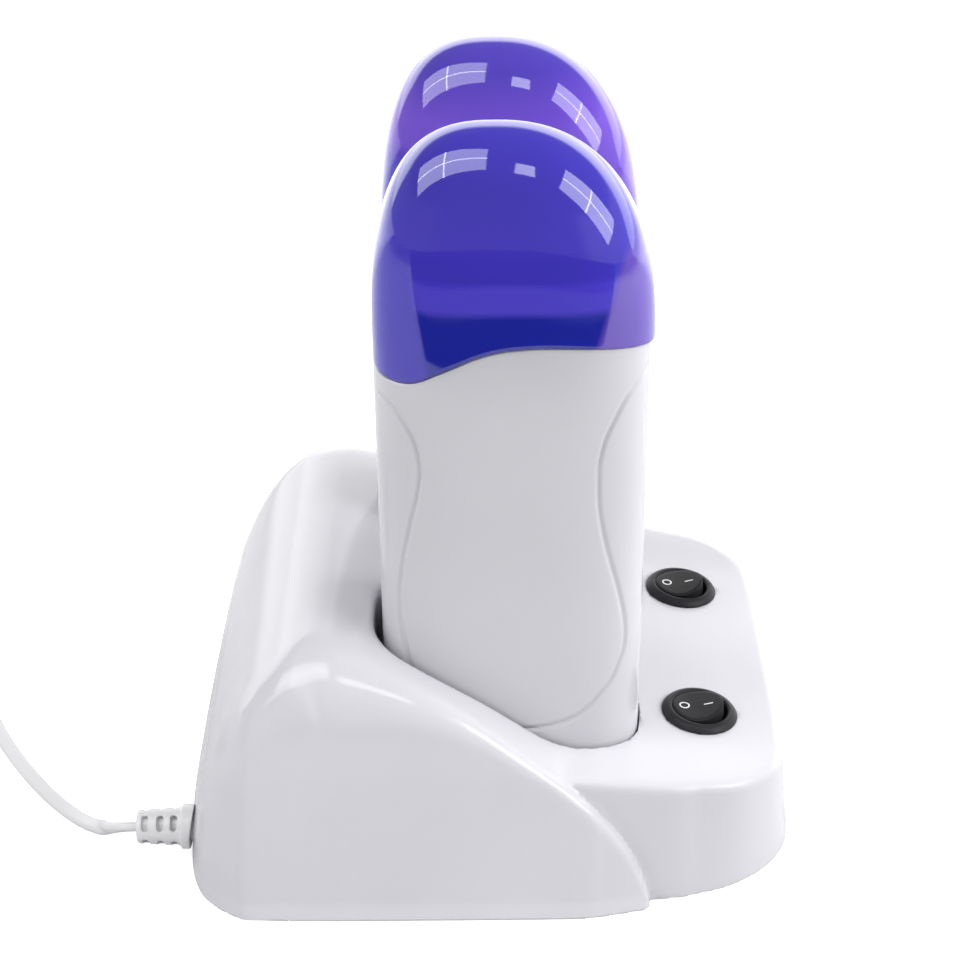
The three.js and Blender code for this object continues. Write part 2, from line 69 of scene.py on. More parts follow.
# ---- camera ------------------------------------------------------------------------
F_PX = 2188.17
ELEV, YAW, ROLL = math.radians(29.529), math.radians(-0.157), math.radians(-0.548)
cam_data = bpy.data.cameras.new("camera")
cam = bpy.data.objects.new("camera", cam_data)
bpy.context.scene.collection.objects.link(cam)
cam_data.sensor_width = 36.0
cam_data.lens = 36.0 * F_PX / 960.0
cam_data.clip_start = 0.02
cam_data.clip_end = 20.0
fwd = Vector((math.sin(YAW) * math.cos(ELEV), math.cos(YAW) * math.cos(ELEV), -math.sin(ELEV)))
right0 = Vector((math.cos(YAW), -math.sin(YAW), 0))
up0 = right0.cross(fwd)
right = math.cos(ROLL) * right0 + math.sin(ROLL) * up0
up = -math.sin(ROLL) * right0 + math.cos(ROLL) * up0
m = Matrix((right, up, -fwd)).transposed().to_4x4()
m.translation = Vector((0.358, -551.268, 407.269)) * MM
cam.matrix_world = m
bpy.context.scene.camera = cam

# ---- materials -----------------------------------------------------------------------
def new_mat(name):
    mt = bpy.data.materials.new(name)
    mt.use_nodes = True
    nt = mt.node_tree
    bsdf = nt.nodes["Principled BSDF"]
    return mt, nt, bsdf


def noise(nt, scale, detail=3.0, rough=0.5, vec=None, stretch=None):
    tc = nt.nodes.new("ShaderNodeTexCoord")
    out = tc.outputs["Object"]
    if stretch:
        mp = nt.nodes.new("ShaderNodeMapping")
        mp.inputs["Scale"].default_value = stretch
        nt.links.new(out, mp.inputs["Vector"])
        out = mp.outputs["Vector"]
    n = nt.nodes.new("ShaderNodeTexNoise")
    n.inputs["Scale"].default_value = scale
    n.inputs["Detail"].default_value = detail
    n.inputs["Roughness"].default_value = rough
    nt.links.new(out, n.inputs["Vector"])
    return n.outputs["Fac"]


def remap(nt, value, lo, hi, a=0.3, b=0.7):
    r = nt.nodes.new("ShaderNodeMapRange")
    r.inputs["From Min"].default_value = a
    r.inputs["From Max"].default_value = b
    r.inputs["To Min"].default_value = lo
    r.inputs["To Max"].default_value = hi
    nt.links.new(value, r.inputs["Value"])
    return r.outputs["Result"]


def ramp(nt, value, c0, c1, p0=0.3, p1=0.7):
    r = nt.nodes.new("ShaderNodeValToRGB")
    r.color_ramp.elements[0].position = p0
    r.color_ramp.elements[0].color = (*c0, 1)
    r.color_ramp.elements[1].position = p1
    r.color_ramp.elements[1].color = (*c1, 1)
    nt.links.new(value, r.inputs["Fac"])
    return r.outputs["Color"]


def bump(nt, bsdf, heights):
    """Stacks (value, strength, distance in metres) bumps."""
    normal = None
    for value, strength, dist in heights:
        b = nt.nodes.new("ShaderNodeBump")
        b.inputs["Strength"].default_value = strength
        b.inputs["Distance"].default_value = dist
        nt.links.new(value, b.inputs["Height"])
        if normal:
            nt.links.new(normal, b.inputs["Normal"])
        normal = b.outputs["Normal"]
    nt.links.new(normal, bsdf.inputs["Normal"])


def plastic(name, c0, c1, r0, r1, grain=900.0, grain_h=0.00001, wave_h=0.00006, coat=0.0, scuffs=True, spec=0.5, wave_s=55.0):
    mt, nt, b = new_mat(name)
    big = noise(nt, 24.0, 4.0)
    nt.links.new(ramp(nt, big, c0, c1), b.inputs["Base Color"])
    fine = noise(nt, 160.0, 5.0, 0.6)
    nt.links.new(remap(nt, fine, r0, r1), b.inputs["Roughness"])
    hs = [(noise(nt, wave_s, 1.5), 1.0, wave_h), (noise(nt, grain, 2.0), 1.0, grain_h)]
    if scuffs:
        sc = noise(nt, 420.0, 2.0, 0.4, stretch=(1.0, 1.0, 0.06))
        hs.append((remap(nt, sc, 0.0, 1.0, 0.62, 0.7), 0.25, 0.00001))
    bump(nt, b, hs)
    b.inputs["Coat Weight"].default_value = coat
    b.inputs["Coat Roughness"].default_value = 0.06
    b.inputs["Specular IOR Level"].default_value = spec
    return mt


def metal(name, c0, c1, r0, r1, stretch=(1, 1, 0.03)):
    mt, nt, b = new_mat(name)
    big = noise(nt, 60.0, 4.0)
    nt.links.new(ramp(nt, big, c0, c1), b.inputs["Base Color"])
    br = noise(nt, 700.0, 3.0, 0.6, stretch=stretch)
    nt.links.new(remap(nt, br, r0, r1), b.inputs["Roughness"])
    bump(nt, b, [(br, 0.4, 0.00002)])
    b.inputs["Metallic"].default_value = 1.0
    return mt


WHITE = plastic("gloss_white", (0.515, 0.511, 0.543), (0.535, 0.531, 0.563), 0.09, 0.15, spec=0.45)
WHITE_BODY = plastic("gloss_white_heater", (0.515, 0.511, 0.543), (0.535, 0.531, 0.563), 0.12, 0.19, grain_h=0.000014, spec=0.8)
WHITE_IN = plastic("inner_white", (0.72, 0.72, 0.74), (0.76, 0.76, 0.78), 0.35, 0.5, grain_h=0.00002)
BLACK = plastic("black_moulded", (0.010, 0.010, 0.0125), (0.016, 0.016, 0.019), 0.42, 0.56, spec=0.3, grain=2600.0, grain_h=0.00006, wave_h=0.00001, scuffs=False)
BLACK_SATIN = plastic("black_rocker", (0.012, 0.012, 0.0135), (0.018, 0.018, 0.02), 0.36, 0.48, spec=0.15, grain=2200.0, grain_h=0.00003, wave_h=0.00001)
RUBBER = plastic("rubber_feet", (0.02, 0.02, 0.02), (0.035, 0.035, 0.035), 0.75, 0.9, grain=1500.0, grain_h=0.0001, wave_h=0.00002, scuffs=False)
PVC = plastic("white_pvc", (0.62, 0.616, 0.632), (0.67, 0.666, 0.678), 0.3, 0.42, grain=1200.0, grain_h=0.00002, wave_h=0.00003, wave_s=120.0)
CERAMIC = plastic("heater_ceramic", (0.66, 0.63, 0.56), (0.74, 0.71, 0.64), 0.55, 0.75, grain=1500.0, grain_h=0.00008, scuffs=False)
STEEL = metal("plated_steel", (0.55, 0.55, 0.56), (0.66, 0.66, 0.67), 0.2, 0.34)
BRASS = metal("brass", (0.62, 0.46, 0.2), (0.74, 0.57, 0.27), 0.22, 0.36)
ALU = metal("aluminium", (0.66, 0.66, 0.68), (0.78, 0.78, 0.8), 0.26, 0.4)
INK, _nt, _b = new_mat("grey_print")
_nt.links.new(ramp(_nt, noise(_nt, 300.0), (0.02, 0.02, 0.024), (0.035, 0.035, 0.04)), _b.inputs["Base Color"])
_nt.links.new(remap(_nt, noise(_nt, 900.0), 0.35, 0.5), _b.inputs["Roughness"])
MARK, _nt, _b = new_mat("white_mark")
_nt.links.new(ramp(_nt, noise(_nt, 900.0), (0.62, 0.62, 0.64), (0.78, 0.78, 0.8)), _b.inputs["Base Color"])
_nt.links.new(remap(_nt, noise(_nt, 1200.0), 0.4, 0.6), _b.inputs["Roughness"])

def violet(name, stops, side):
    """Translucent cap plastic with painted light: bands of painted shade and painted reflection by height where the
    neck stands behind it, a painted lit flank on the right and a paler painted lit flank on the left.
    """
    mt, nt, b = new_mat(name)
    tc = nt.nodes.new("ShaderNodeTexCoord")
    sp = nt.nodes.new("ShaderNodeSeparateXYZ")
    nt.links.new(tc.outputs["Object"], sp.inputs["Vector"])
    z0, z1 = 0.160, 0.216
    ht = nt.nodes.new("ShaderNodeMapRange")
    ht.inputs["From Min"].default_value = z0
    ht.inputs["From Max"].default_value = z1
    nt.links.new(sp.outputs["Z"], ht.inputs["Value"])
    cr = nt.nodes.new("ShaderNodeValToRGB")
    el = cr.color_ramp.elements
    while len(el) < len(stops):
        el.new(0.5)
    for e, (z, c) in zip(el, stops):
        e.position = (z - z0) / (z1 - z0)
        e.color = (*c, 1)
    nt.links.new(ht.outputs["Result"], cr.inputs["Fac"])

    def m(op, a, c):
        n = nt.nodes.new("ShaderNodeMath")
        n.operation = op
        for i, v in enumerate((a, c)):
            if isinstance(v, (int, float)):
                n.inputs[i].default_value = v
            else:
                nt.links.new(v, n.inputs[i])
        return n.outputs[0]

    # Painted highlight: a lit flank painted on the right in the colour given as side, and a paler lit flank painted on
    # the left, both only below z 0.19.
    edge = m("SUBTRACT", sp.outputs["X"], m("MULTIPLY", m("SUBTRACT", sp.outputs["Z"], 0.165), 0.3))
    below = remap(nt, sp.outputs["Z"], 1.0, 0.0, 0.185, 0.191)
    flank = m("MULTIPLY", remap(nt, edge, 0.0, 1.0, 0.0285, 0.0305), below)
    edge_l = m("SUBTRACT", m("MULTIPLY", sp.outputs["X"], -1.0), m("MULTIPLY", m("SUBTRACT", sp.outputs["Z"], 0.165), 0.15))
    flank_l = m("MULTIPLY", remap(nt, edge_l, 0.0, 1.0, 0.0145, 0.0165), below)
    lit = nt.nodes.new("ShaderNodeMix")
    lit.data_type = "RGBA"
    nt.links.new(flank_l, lit.inputs["Factor"])
    nt.links.new(cr.outputs["Color"], lit.inputs["A"])
    lit.inputs["B"].default_value = (0.052, 0.032, 0.64, 1)
    mix = nt.nodes.new("ShaderNodeMix")
    mix.data_type = "RGBA"
    nt.links.new(flank, mix.inputs["Factor"])
    nt.links.new(lit.outputs["Result"], mix.inputs["A"])
    mix.inputs["B"].default_value = (*side, 1)
    grain = nt.nodes.new("ShaderNodeMix")
    grain.data_type = "RGBA"
    grain.blend_type = "MULTIPLY"
    grain.inputs["Factor"].default_value = 1.0
    nt.links.new(mix.outputs["Result"], grain.inputs["A"])
    nt.links.new(ramp(nt, noise(nt, 20.0, 2.0), (0.93, 0.92, 0.84), (1.0, 1.0, 0.89)), grain.inputs["B"])
    nt.links.new(grain.outputs["Result"], b.inputs["Base Color"])
    nt.links.new(remap(nt, noise(nt, 140.0, 4.0), 0.03, 0.06), b.inputs["Roughness"])
    b.inputs["IOR"].default_value = 1.52
    b.inputs["Transmission Weight"].default_value = 0.3
    b.inputs["Coat Weight"].default_value = 0.55
    b.inputs["Coat Roughness"].default_value = 0.03
    bump(nt, b, [(noise(nt, 45.0, 1.0), 1.0, 0.00003), (noise(nt, 1500.0, 2.0), 0.4, 0.000005)])
    return mt


# Painted light in the cap colour by height: painted shade low down where the neck stands behind, then two bands of
# painted reflection, then the plain violet.
_shade_low, _reflection_mid, _reflection_upper, _clear = (0.012, 0.020, 0.44), (0.076, 0.050, 0.74), (0.056, 0.040, 0.62), (0.050, 0.035, 0.53)
VIOLET = violet("translucent_violet", [
    (0.160, _shade_low), (0.1725, _shade_low), (0.1745, _reflection_mid), (0.1805, _reflection_mid), (0.1825, _reflection_upper), (0.1875, _reflection_upper),
    (0.190, (0.064, 0.043, 0.64)), (0.204, _clear)], (0.15, 0.085, 0.62))
# Painted light: the far cap is the same plastic as the near one, with lighter violet painted in as painted backlight
# and a brighter painted lit flank.
VIOLET_FAR_PAINTED_BACKLIGHT = violet("translucent_violet_lit", [
    (0.160, _shade_low), (0.1725, _shade_low), (0.1745, (0.17, 0.075, 0.7)), (0.1875, (0.2, 0.09, 0.78)),
    (0.197, (0.2, 0.09, 0.78)), (0.210, (0.085, 0.05, 0.55))], (0.2, 0.09, 0.78))

# ---- mesh helpers ----------------------------------------------------------------------
def make(name, verts, faces, mat, body, replaces=(), sharp=40.0):
    """verts in millimetres in the row frame."""
    me = bpy.data.meshes.new(name)
    me.from_pydata((np.asarray(verts, float) * MM).tolist(), [], [list(map(int, f)) for f in faces])
    me.validate()
    me.update()
    me.shade_smooth()
    if sharp:
        me.set_sharp_from_angle(angle=math.radians(sharp))
    me.materials.append(mat)
    o = bpy.data.objects.new(name, me)
    bpy.context.scene.collection.objects.link(o)
    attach(o, body)
    if replaces:
        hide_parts(*replaces)
    return o


def rings(sections, closed_ends=True):
    """Quads through closed rings of equal length; optional caps."""
    n = len(sections[0])
    verts = [p for s in sections for p in s]
    faces = []
    for i in range(len(sections) - 1):
        for j in range(n):
            a, b2 = i * n + j, i * n + (j + 1) % n
            faces.append((a, b2, b2 + n, a + n))
    if closed_ends:
        faces.append(tuple(reversed(range(n))))
        faces.append(tuple((len(sections) - 1) * n + j for j in range(n)))
    return verts, faces


def lathe(profile, seg=96):
    """Closed solid of revolution about Z from (r, z) points; r 0 ends close on the axis."""
    verts, faces, idx = [], [], []
    for r, z in profile:
        if r < 1e-6:
            idx.append([len(verts)])
            verts.append((0, 0, z))
        else:
            idx.append(list(range(len(verts), len(verts) + seg)))
            for k in range(seg):
                t = 2 * math.pi * k / seg
                verts.append((r * math.cos(t), r * math.sin(t), z))
    pairs = list(zip(idx[:-1], idx[1:]))
    if len(idx[0]) > 1:
        pairs.append((idx[-1], idx[0]))
    for a, c in pairs:
        for k in range(seg):
            k2 = (k + 1) % seg
            if len(a) == 1 and len(c) == 1:
                continue
            if len(a) == 1:
                faces.append((a[0], c[k2], c[k]))
            elif len(c) == 1:
                faces.append((a[k], a[k2], c[0]))
            else:
                faces.append((a[k], a[k2], c[k2], c[k]))
    return np.array(verts, float), faces


def round_profile(pts, r, steps=5):
    """Rounds the inner corners of an open (r, z) profile."""
    out = [pts[0]]
    for i in range(1, len(pts) - 1):
        p0, p, p2 = (np.array(pts[i - 1], float), np.array(pts[i], float), np.array(pts[i + 1], float))
        a, c = p0 - p, p2 - p
        la, lc = np.linalg.norm(a), np.linalg.norm(c)
        rr = min(r, la * 0.45, lc * 0.45)
        s, e = p + a / la * rr, p + c / lc * rr
        for k in range(steps + 1):
            t = k / steps
            q = (1 - t) ** 2 * s + 2 * t * (1 - t) * p + t**2 * e
            out.append((float(q[0]), float(q[1])))
    out.append(pts[-1])
    return out


def turn(verts, matrix, at=(0, 0, 0)):
    v = np.asarray(verts, float)
    return v @ np.array(matrix).T + np.array(at, float)


def rot_y(a):
    return [[math.cos(a), 0, math.sin(a)], [0, 1, 0], [-math.sin(a), 0, math.cos(a)]]


# implicit shapes, meshed by surface nets and pulled onto the surface
def smax(a, c, k):
    h = np.clip(k - np.abs(a - c), 0, None) / k
    return np.maximum(a, c) + h * h * k * 0.25


def smin(a, c, k):
    return -smax(-a, -c, k)


def surface_nets(fn, lo, hi, h, project=4):
    lo = np.array(lo, float)
    dims = [int(math.ceil((hi[i] - lo[i]) / h)) + 1 for i in range(3)]
    ax = [lo[i] + h * np.arange(dims[i]) for i in range(3)]
    G = np.empty(dims, np.float32)
    yy, zz = np.meshgrid(ax[1], ax[2], indexing="ij")
    step = max(1, int(400000 / yy.size))
    for i in range(0, dims[0], step):
        xs = ax[0][i : i + step]
        X = np.repeat(xs, yy.size)
        Y = np.tile(yy.ravel(), len(xs))
        Z = np.tile(zz.ravel(), len(xs))
        G[i : i + step] = fn(X, Y, Z).reshape(len(xs), dims[1], dims[2])
    inside = G < 0
    cnt = np.zeros([d - 1 for d in dims], np.int8)
    for a in (0, 1):
        for b3 in (0, 1):
            for c in (0, 1):
                cnt += inside[a : dims[0] - 1 + a, b3 : dims[1] - 1 + b3, c : dims[2] - 1 + c]
    act = np.argwhere((cnt > 0) & (cnt < 8))
    index = -np.ones([d - 1 for d in dims], np.int64)
    index[tuple(act.T)] = np.arange(len(act))
    pos = np.zeros((len(act), 3))
    num = np.zeros(len(act))
    corners = [(a, b3, c) for a in (0, 1) for b3 in (0, 1) for c in (0, 1)]
    for p in corners:
        for axis in range(3):
            if p[axis]:
                continue
            q = list(p)
            q[axis] = 1
            va = G[act[:, 0] + p[0], act[:, 1] + p[1], act[:, 2] + p[2]].astype(float)
            vb = G[act[:, 0] + q[0], act[:, 1] + q[1], act[:, 2] + q[2]].astype(float)
            cross = (va < 0) != (vb < 0)
            t = np.where(cross, va / np.where(np.abs(va - vb) < 1e-12, 1, va - vb), 0)
            e = np.array(p, float)[None, :] + t[:, None] * np.eye(3)[axis][None, :]
            pos += np.where(cross[:, None], e, 0)
            num += cross
    pts = lo + h * (act + pos / np.maximum(num, 1)[:, None])
    eps = h * 0.1
    for _ in range(project):
        f0 = fn(pts[:, 0], pts[:, 1], pts[:, 2])
        g = np.stack(
            [
                (fn(pts[:, 0] + (eps if k == 0 else 0), pts[:, 1] + (eps if k == 1 else 0), pts[:, 2] + (eps if k == 2 else 0)) - f0) / eps
                for k in range(3)
            ],
            1,
        )
        gg = np.maximum((g * g).sum(1), 0.05)
        mv = -(f0 / gg)[:, None] * g
        ln = np.linalg.norm(mv, axis=1)
        mv *= np.minimum(1, 0.5 * h / np.maximum(ln, 1e-9))[:, None]
        pts = pts + mv
    faces = []
    for axis in range(3):
        u, v = [(1, 2), (2, 0), (0, 1)][axis]
        s0 = [slice(1, d - 1) for d in dims]
        s0[axis] = slice(0, dims[axis] - 1)
        s1 = list(s0)
        s1[axis] = slice(1, dims[axis])
        a, c = inside[tuple(s0)], inside[tuple(s1)]
        e = np.argwhere(a != c)
        flip = a[tuple(e.T)]
        base = e.copy()
        base[:, u] += 1
        base[:, v] += 1
        ids = []
        for du, dv in ((-1, -1), (0, -1), (0, 0), (-1, 0)):
            cc = base.copy()
            cc[:, u] += du
            cc[:, v] += dv
            ids.append(index[tuple(cc.T)])
        q = np.stack(ids, 1)
        q[~flip] = q[~flip][:, ::-1]
        faces.append(q)
    return pts, np.concatenate(faces)


def catmull(pts, per=12):
    p = np.array(pts, float)
    out = []
    for i in range(len(p) - 1):
        p0 = p[max(i - 1, 0)]
        p1, p2 = p[i], p[i + 1]
        p3 = p[min(i + 2, len(p) - 1)]
        for k in range(per):
            t = k / per
            out.append(0.5 * ((2 * p1) + (-p0 + p2) * t + (2 * p0 - 5 * p1 + 4 * p2 - p3) * t * t + (-p0 + 3 * p1 - 3 * p2 + p3) * t**3))
    out.append(p[-1])
    return np.array(out)


class Field2D:
    """Signed distance to a closed outline, sampled on a grid with cubic reading."""

    def __init__(self, outline, step=0.75, margin=14.0):
        o = np.array(outline, float)
        a, c = o, np.roll(o, -1, 0)
        self.lo = o.min(0) - margin
        n = np.ceil((o.max(0) + margin - self.lo) / step).astype(int) + 1
        self.step = step
        gx = self.lo[0] + step * np.arange(n[0])
        gy = self.lo[1] + step * np.arange(n[1])
        P = np.stack(np.meshgrid(gx, gy, indexing="ij"), -1).reshape(-1, 2)
        best = np.full(len(P), 1e9)
        wind = np.zeros(len(P), bool)
        for s, e in zip(a, c):
            d = e - s
            t = np.clip(((P - s) @ d) / max(d @ d, 1e-12), 0, 1)
            q = P - (s + t[:, None] * d)
            best = np.minimum(best, (q * q).sum(1))
            cond = (s[1] > P[:, 1]) != (e[1] > P[:, 1])
            with np.errstate(divide="ignore", invalid="ignore"):
                xi = (e[0] - s[0]) * (P[:, 1] - s[1]) / (e[1] - s[1] if e[1] != s[1] else 1e-12) + s[0]
            wind ^= cond & (P[:, 0] < xi)
        self.v = np.where(wind, -1, 1) * np.sqrt(best)
        self.v = self.v.reshape(n)
        for _ in range(2):
            g = np.pad(self.v, 1, mode="edge")
            self.v = 0.5 * self.v + 0.125 * (g[2:, 1:-1] + g[:-2, 1:-1] + g[1:-1, 2:] + g[1:-1, :-2])

    def __call__(self, x, y):
        fx = (x - self.lo[0]) / self.step
        fy = (y - self.lo[1]) / self.step
        n = self.v.shape
        cx = np.clip(fx, 1, n[0] - 2.001)
        cy = np.clip(fy, 1, n[1] - 2.001)
        ix, iy = np.floor(cx).astype(int), np.floor(cy).astype(int)
        tx, ty = cx - ix, cy - iy

        def w(t):
            return [0.5 * (-t + 2 * t * t - t**3), 0.5 * (2 - 5 * t * t + 3 * t**3), 0.5 * (t + 4 * t * t - 3 * t**3), 0.5 * (-t * t + t**3)]

        wx, wy = w(tx), w(ty)
        out = 0
        for i in range(4):
            for j in range(4):
                out = out + wx[i] * wy[j] * self.v[np.clip(ix + i - 1, 0, n[0] - 1), np.clip(iy + j - 1, 0, n[1] - 1)]
        far = np.hypot(fx - cx, fy - cy) * self.step
        return out + far

# ---- mains lead, coil and plug (made first) -------------------------------------------
LEAD_W, LEAD_H = 4.4, 2.8
ROUTE = [
    (-98.6, -53.0, 11.5), (-101.0, -53.0, 11.5), (-104.25, -52.6, 11.1), (-108.75, -50.3, 9.0), (-113.0, -46.3, 6.2),
    (-118.2, -40.4, 3.4), (-124.0, -33.8, 1.9), (-130.0, -27.0, 1.5), (-136.0, -19.4, 1.5), (-141.5, -11.5, 1.5),
    (-147.2, -2.6, 1.5), (-152.5, 7.0, 1.5), (-157.3, 16.6, 1.5), (-161.3, 26.4, 1.5),
]
COLUMNS = [30.9, 26.4, 21.9]
LAYERS = [1.55, 4.45, 7.35]


def coil_point(turn, r, z):
    a = 2 * math.pi * turn
    return (COIL_X + r * math.cos(a), COIL_Y + r * math.sin(a), z)


def ease(a, c, f):
    f = min(max(f, 0.0), 1.0)
    f = f * f * (3 - 2 * f)
    return a + (c - a) * f


coil = []
order = [(30.9, 0), (26.4, 0), (21.9, 0), (21.9, 1), (26.4, 1), (30.9, 1), (30.9, 2), (26.4, 2)]
STEPS = 24
for i, (r, layer) in enumerate(order):
    for k in range(STEPS):
        f = k / STEPS
        r0, z0 = r, LAYERS[layer]
        pr, pl = order[i - 1] if i else (35.4, 0)
        # the crossover to the next column or layer takes the first third of a turn
        rr = ease(pr, r0, f / 0.34)
        zz = ease(LAYERS[pl], z0, f / 0.34)
        coil.append(coil_point(i + f, rr, zz))
tail = [
    coil_point(8.0, 26.4, 7.35), coil_point(8.05, 26.4, 7.9), coil_point(8.1, 26.6, 9.0), coil_point(8.15, 27.2, 10.4),
    coil_point(8.2, 28.6, 11.6), coil_point(8.25, 30.2, 12.7), (COIL_X - 6.6, COIL_Y + 29.4, 13.9), (COIL_X - 12.6, COIL_Y + 26.0, 14.9),
    (COIL_X - 16.4, COIL_Y + 20.8, 15.8), (COIL_X - 17.5, COIL_Y + 15.6, 16.3), (COIL_X - 17.6, COIL_Y + 10.0, 16.45),
]
control = ROUTE + coil + tail
raw = catmull(control, 6)


def unit(a):
    return a / np.maximum(np.linalg.norm(a, axis=-1, keepdims=True), 1e-12)


# smooth the joins a little, keep the ends
for _ in range(6):
    raw[1:-1] = 0.5 * raw[1:-1] + 0.25 * (raw[2:] + raw[:-2])
tan = np.gradient(raw, axis=0)
tan = unit(tan)
dist = np.concatenate([[0], np.cumsum(np.linalg.norm(np.diff(raw, axis=0), axis=1))])
flat = unit(np.cross(np.array([0, 0, 1.0]), tan))
start = np.array([0, -0.79, 0.62])
w = np.clip(dist / 34.0, 0, 1)[:, None]
w = w * w * (3 - 2 * w)
wide = start * (1 - w) * -1 + flat * w
wide = unit(wide - (wide * tan).sum(1, keepdims=True) * tan)
thick = unit(np.cross(tan, wide))
# two half circles joined by straight sides
sec = []
for k in range(13):
    a = -math.pi / 2 + math.pi * k / 12
    sec.append((LEAD_W / 2 - LEAD_H / 2 + LEAD_H / 2 * math.cos(a), LEAD_H / 2 * math.sin(a)))
for k in range(13):
    a = math.pi / 2 + math.pi * k / 12
    sec.append((-(LEAD_W / 2 - LEAD_H / 2) + LEAD_H / 2 * math.cos(a), LEAD_H / 2 * math.sin(a)))
lead_rings = [[tuple(raw[i] + wide[i] * u + thick[i] * t) for u, t in sec] for i in range(len(raw))]
lv, lf = rings(lead_rings)
# the boundary faces of the end rings face outwards whichever way the section turns
lead = make("vis_mains_lead", lv, lf, PVC, "base", ["mains_lead", "mains_lead_coil"], sharp=60)

# plug: flat two-pin body with a waist, grip ribs and a tapered cable neck
PLUG_AT = (COIL_X - 17.6, COIL_Y - 36.6, 9.6 + 6.85)
PLUG_HALF = [(0, 17.0), (1.2, 17.65), (8, 17.65), (15, 17.5), (20, 15.2), (24, 11.5), (28.5, 8.3), (33, 6.2), (38, 4.6), (45, 3.8), (52, 3.3)]
pr = catmull(PLUG_HALF, 6)
plug_rings = []
for x, hw in pr:
    tq = min(max((x - 18) / 22, 0), 1)
    ht = 6.85 * (1 - 0.55 * tq * tq * (3 - 2 * tq))
    # moulded grip ribs over the shoulders, strain relief grooves on the neck
    if 4 < x < 15:
        ht -= 0.28 * (0.5 - 0.5 * math.cos((x - 4) / 11 * 2 * math.pi * 4))
    groove = 0.0
    if 38.5 < x < 50.5:
        groove = 0.55 * max(0, math.sin((x - 38.5) / 3.0 * 2 * math.pi))
    n = 2.0 + 2.6 * (1 - tq)
    edge = 0.0
    if x < 1.2:
        edge = 0.9 * (1 - x / 1.2)
    ring = []
    for k in range(56):
        a = 2 * math.pi * k / 56
        c, s = math.cos(a), math.sin(a)
        ring.append((
            x,
            max(hw - groove - edge, 0.5) * math.copysign(abs(c) ** (2 / n), c),
            max(ht - groove - edge, 0.5) * math.copysign(abs(s) ** (2 / n), s),
        ))
    plug_rings.append([(PLUG_AT[0] - p[1], PLUG_AT[1] + p[0], PLUG_AT[2] + p[2]) for p in ring])
pv, pf = rings(plug_rings)
plug = make("vis_plug_body", pv, pf, PVC, "base", ["plug_body"], sharp=50)
for i, sy in enumerate((-1, 1)):
    pp = [(0, -0.2), (2.0, -0.2), (2.0, 9.9), (1.95, 10.0), (1.95, 17.6), (1.75, 18.3), (1.2, 18.9), (0.5, 19.1), (0, 19.1)]
    v0, f0 = lathe(pp, 32)
    # local +Z to world -Y
    v1 = np.stack([v0[:, 0], -v0[:, 2], v0[:, 1]], 1) + np.array([PLUG_AT[0] - sy * 9.3, PLUG_AT[1], PLUG_AT[2]])
    make("vis_plug_pin_%s" % "ab"[i], v1, f0, STEEL, "base", ["plug_pin_%s" % "ab"[i]], sharp=35)
    sv, sf = lathe([(1.98, 0.0), (2.08, 0.15), (2.08, 8.6), (1.98, 8.8)], 32)
    s1 = np.stack([sv[:, 0], -sv[:, 2], sv[:, 1]], 1) + np.array([PLUG_AT[0] - sy * 9.3, PLUG_AT[1], PLUG_AT[2]])
    make("vis_pin_sleeve_%s" % "ab"[i], s1, sf, BLACK, "base", [], sharp=35)

# two wire ties round the coil, as plain bands
for i, a in enumerate((math.radians(200), math.radians(318))):
    pts = []
    for k in range(40):
        t = 2 * math.pi * k / 40
        rr = 26.4 + 7.9 * math.copysign(abs(math.cos(t)) ** 0.45, math.cos(t))
        zz = 4.9 + 4.9 * math.copysign(abs(math.sin(t)) ** 0.45, math.sin(t))
        pts.append((rr, max(zz, 0.35)))
    tv, tf = [], []
    for k, (rr, zz) in enumerate(pts):
        for u, h in ((-1.6, 0.0), (1.6, 0.0), (1.6, 0.55), (-1.6, 0.55)):
            cxx, czz = 26.4, 4.9
            nx, nz = rr - cxx, zz - czz
            ln = math.hypot(nx, nz)
            r2, z2 = rr + nx / ln * h, max(zz + nz / ln * h, 0.05)
            tv.append((
                COIL_X + r2 * math.cos(a) - u * math.sin(a),
                COIL_Y + r2 * math.sin(a) + u * math.cos(a),
                z2,
            ))
    n4 = len(pts)
    for k in range(n4):
        for j in range(4):
            a0, a1 = k * 4 + j, k * 4 + (j + 1) % 4
            b0, b1 = ((k + 1) % n4) * 4 + j, ((k + 1) % n4) * 4 + (j + 1) % 4
            tf.append((a0, a1, b1, b0))
    make("vis_tie_%d" % i, tv, tf, BLACK, "base", [], sharp=40)

# strain relief: slotted boot with its flange on the wall
RX = RELIEF_X - 0.15
boot = surface_nets
RELIEF_N = 0.36


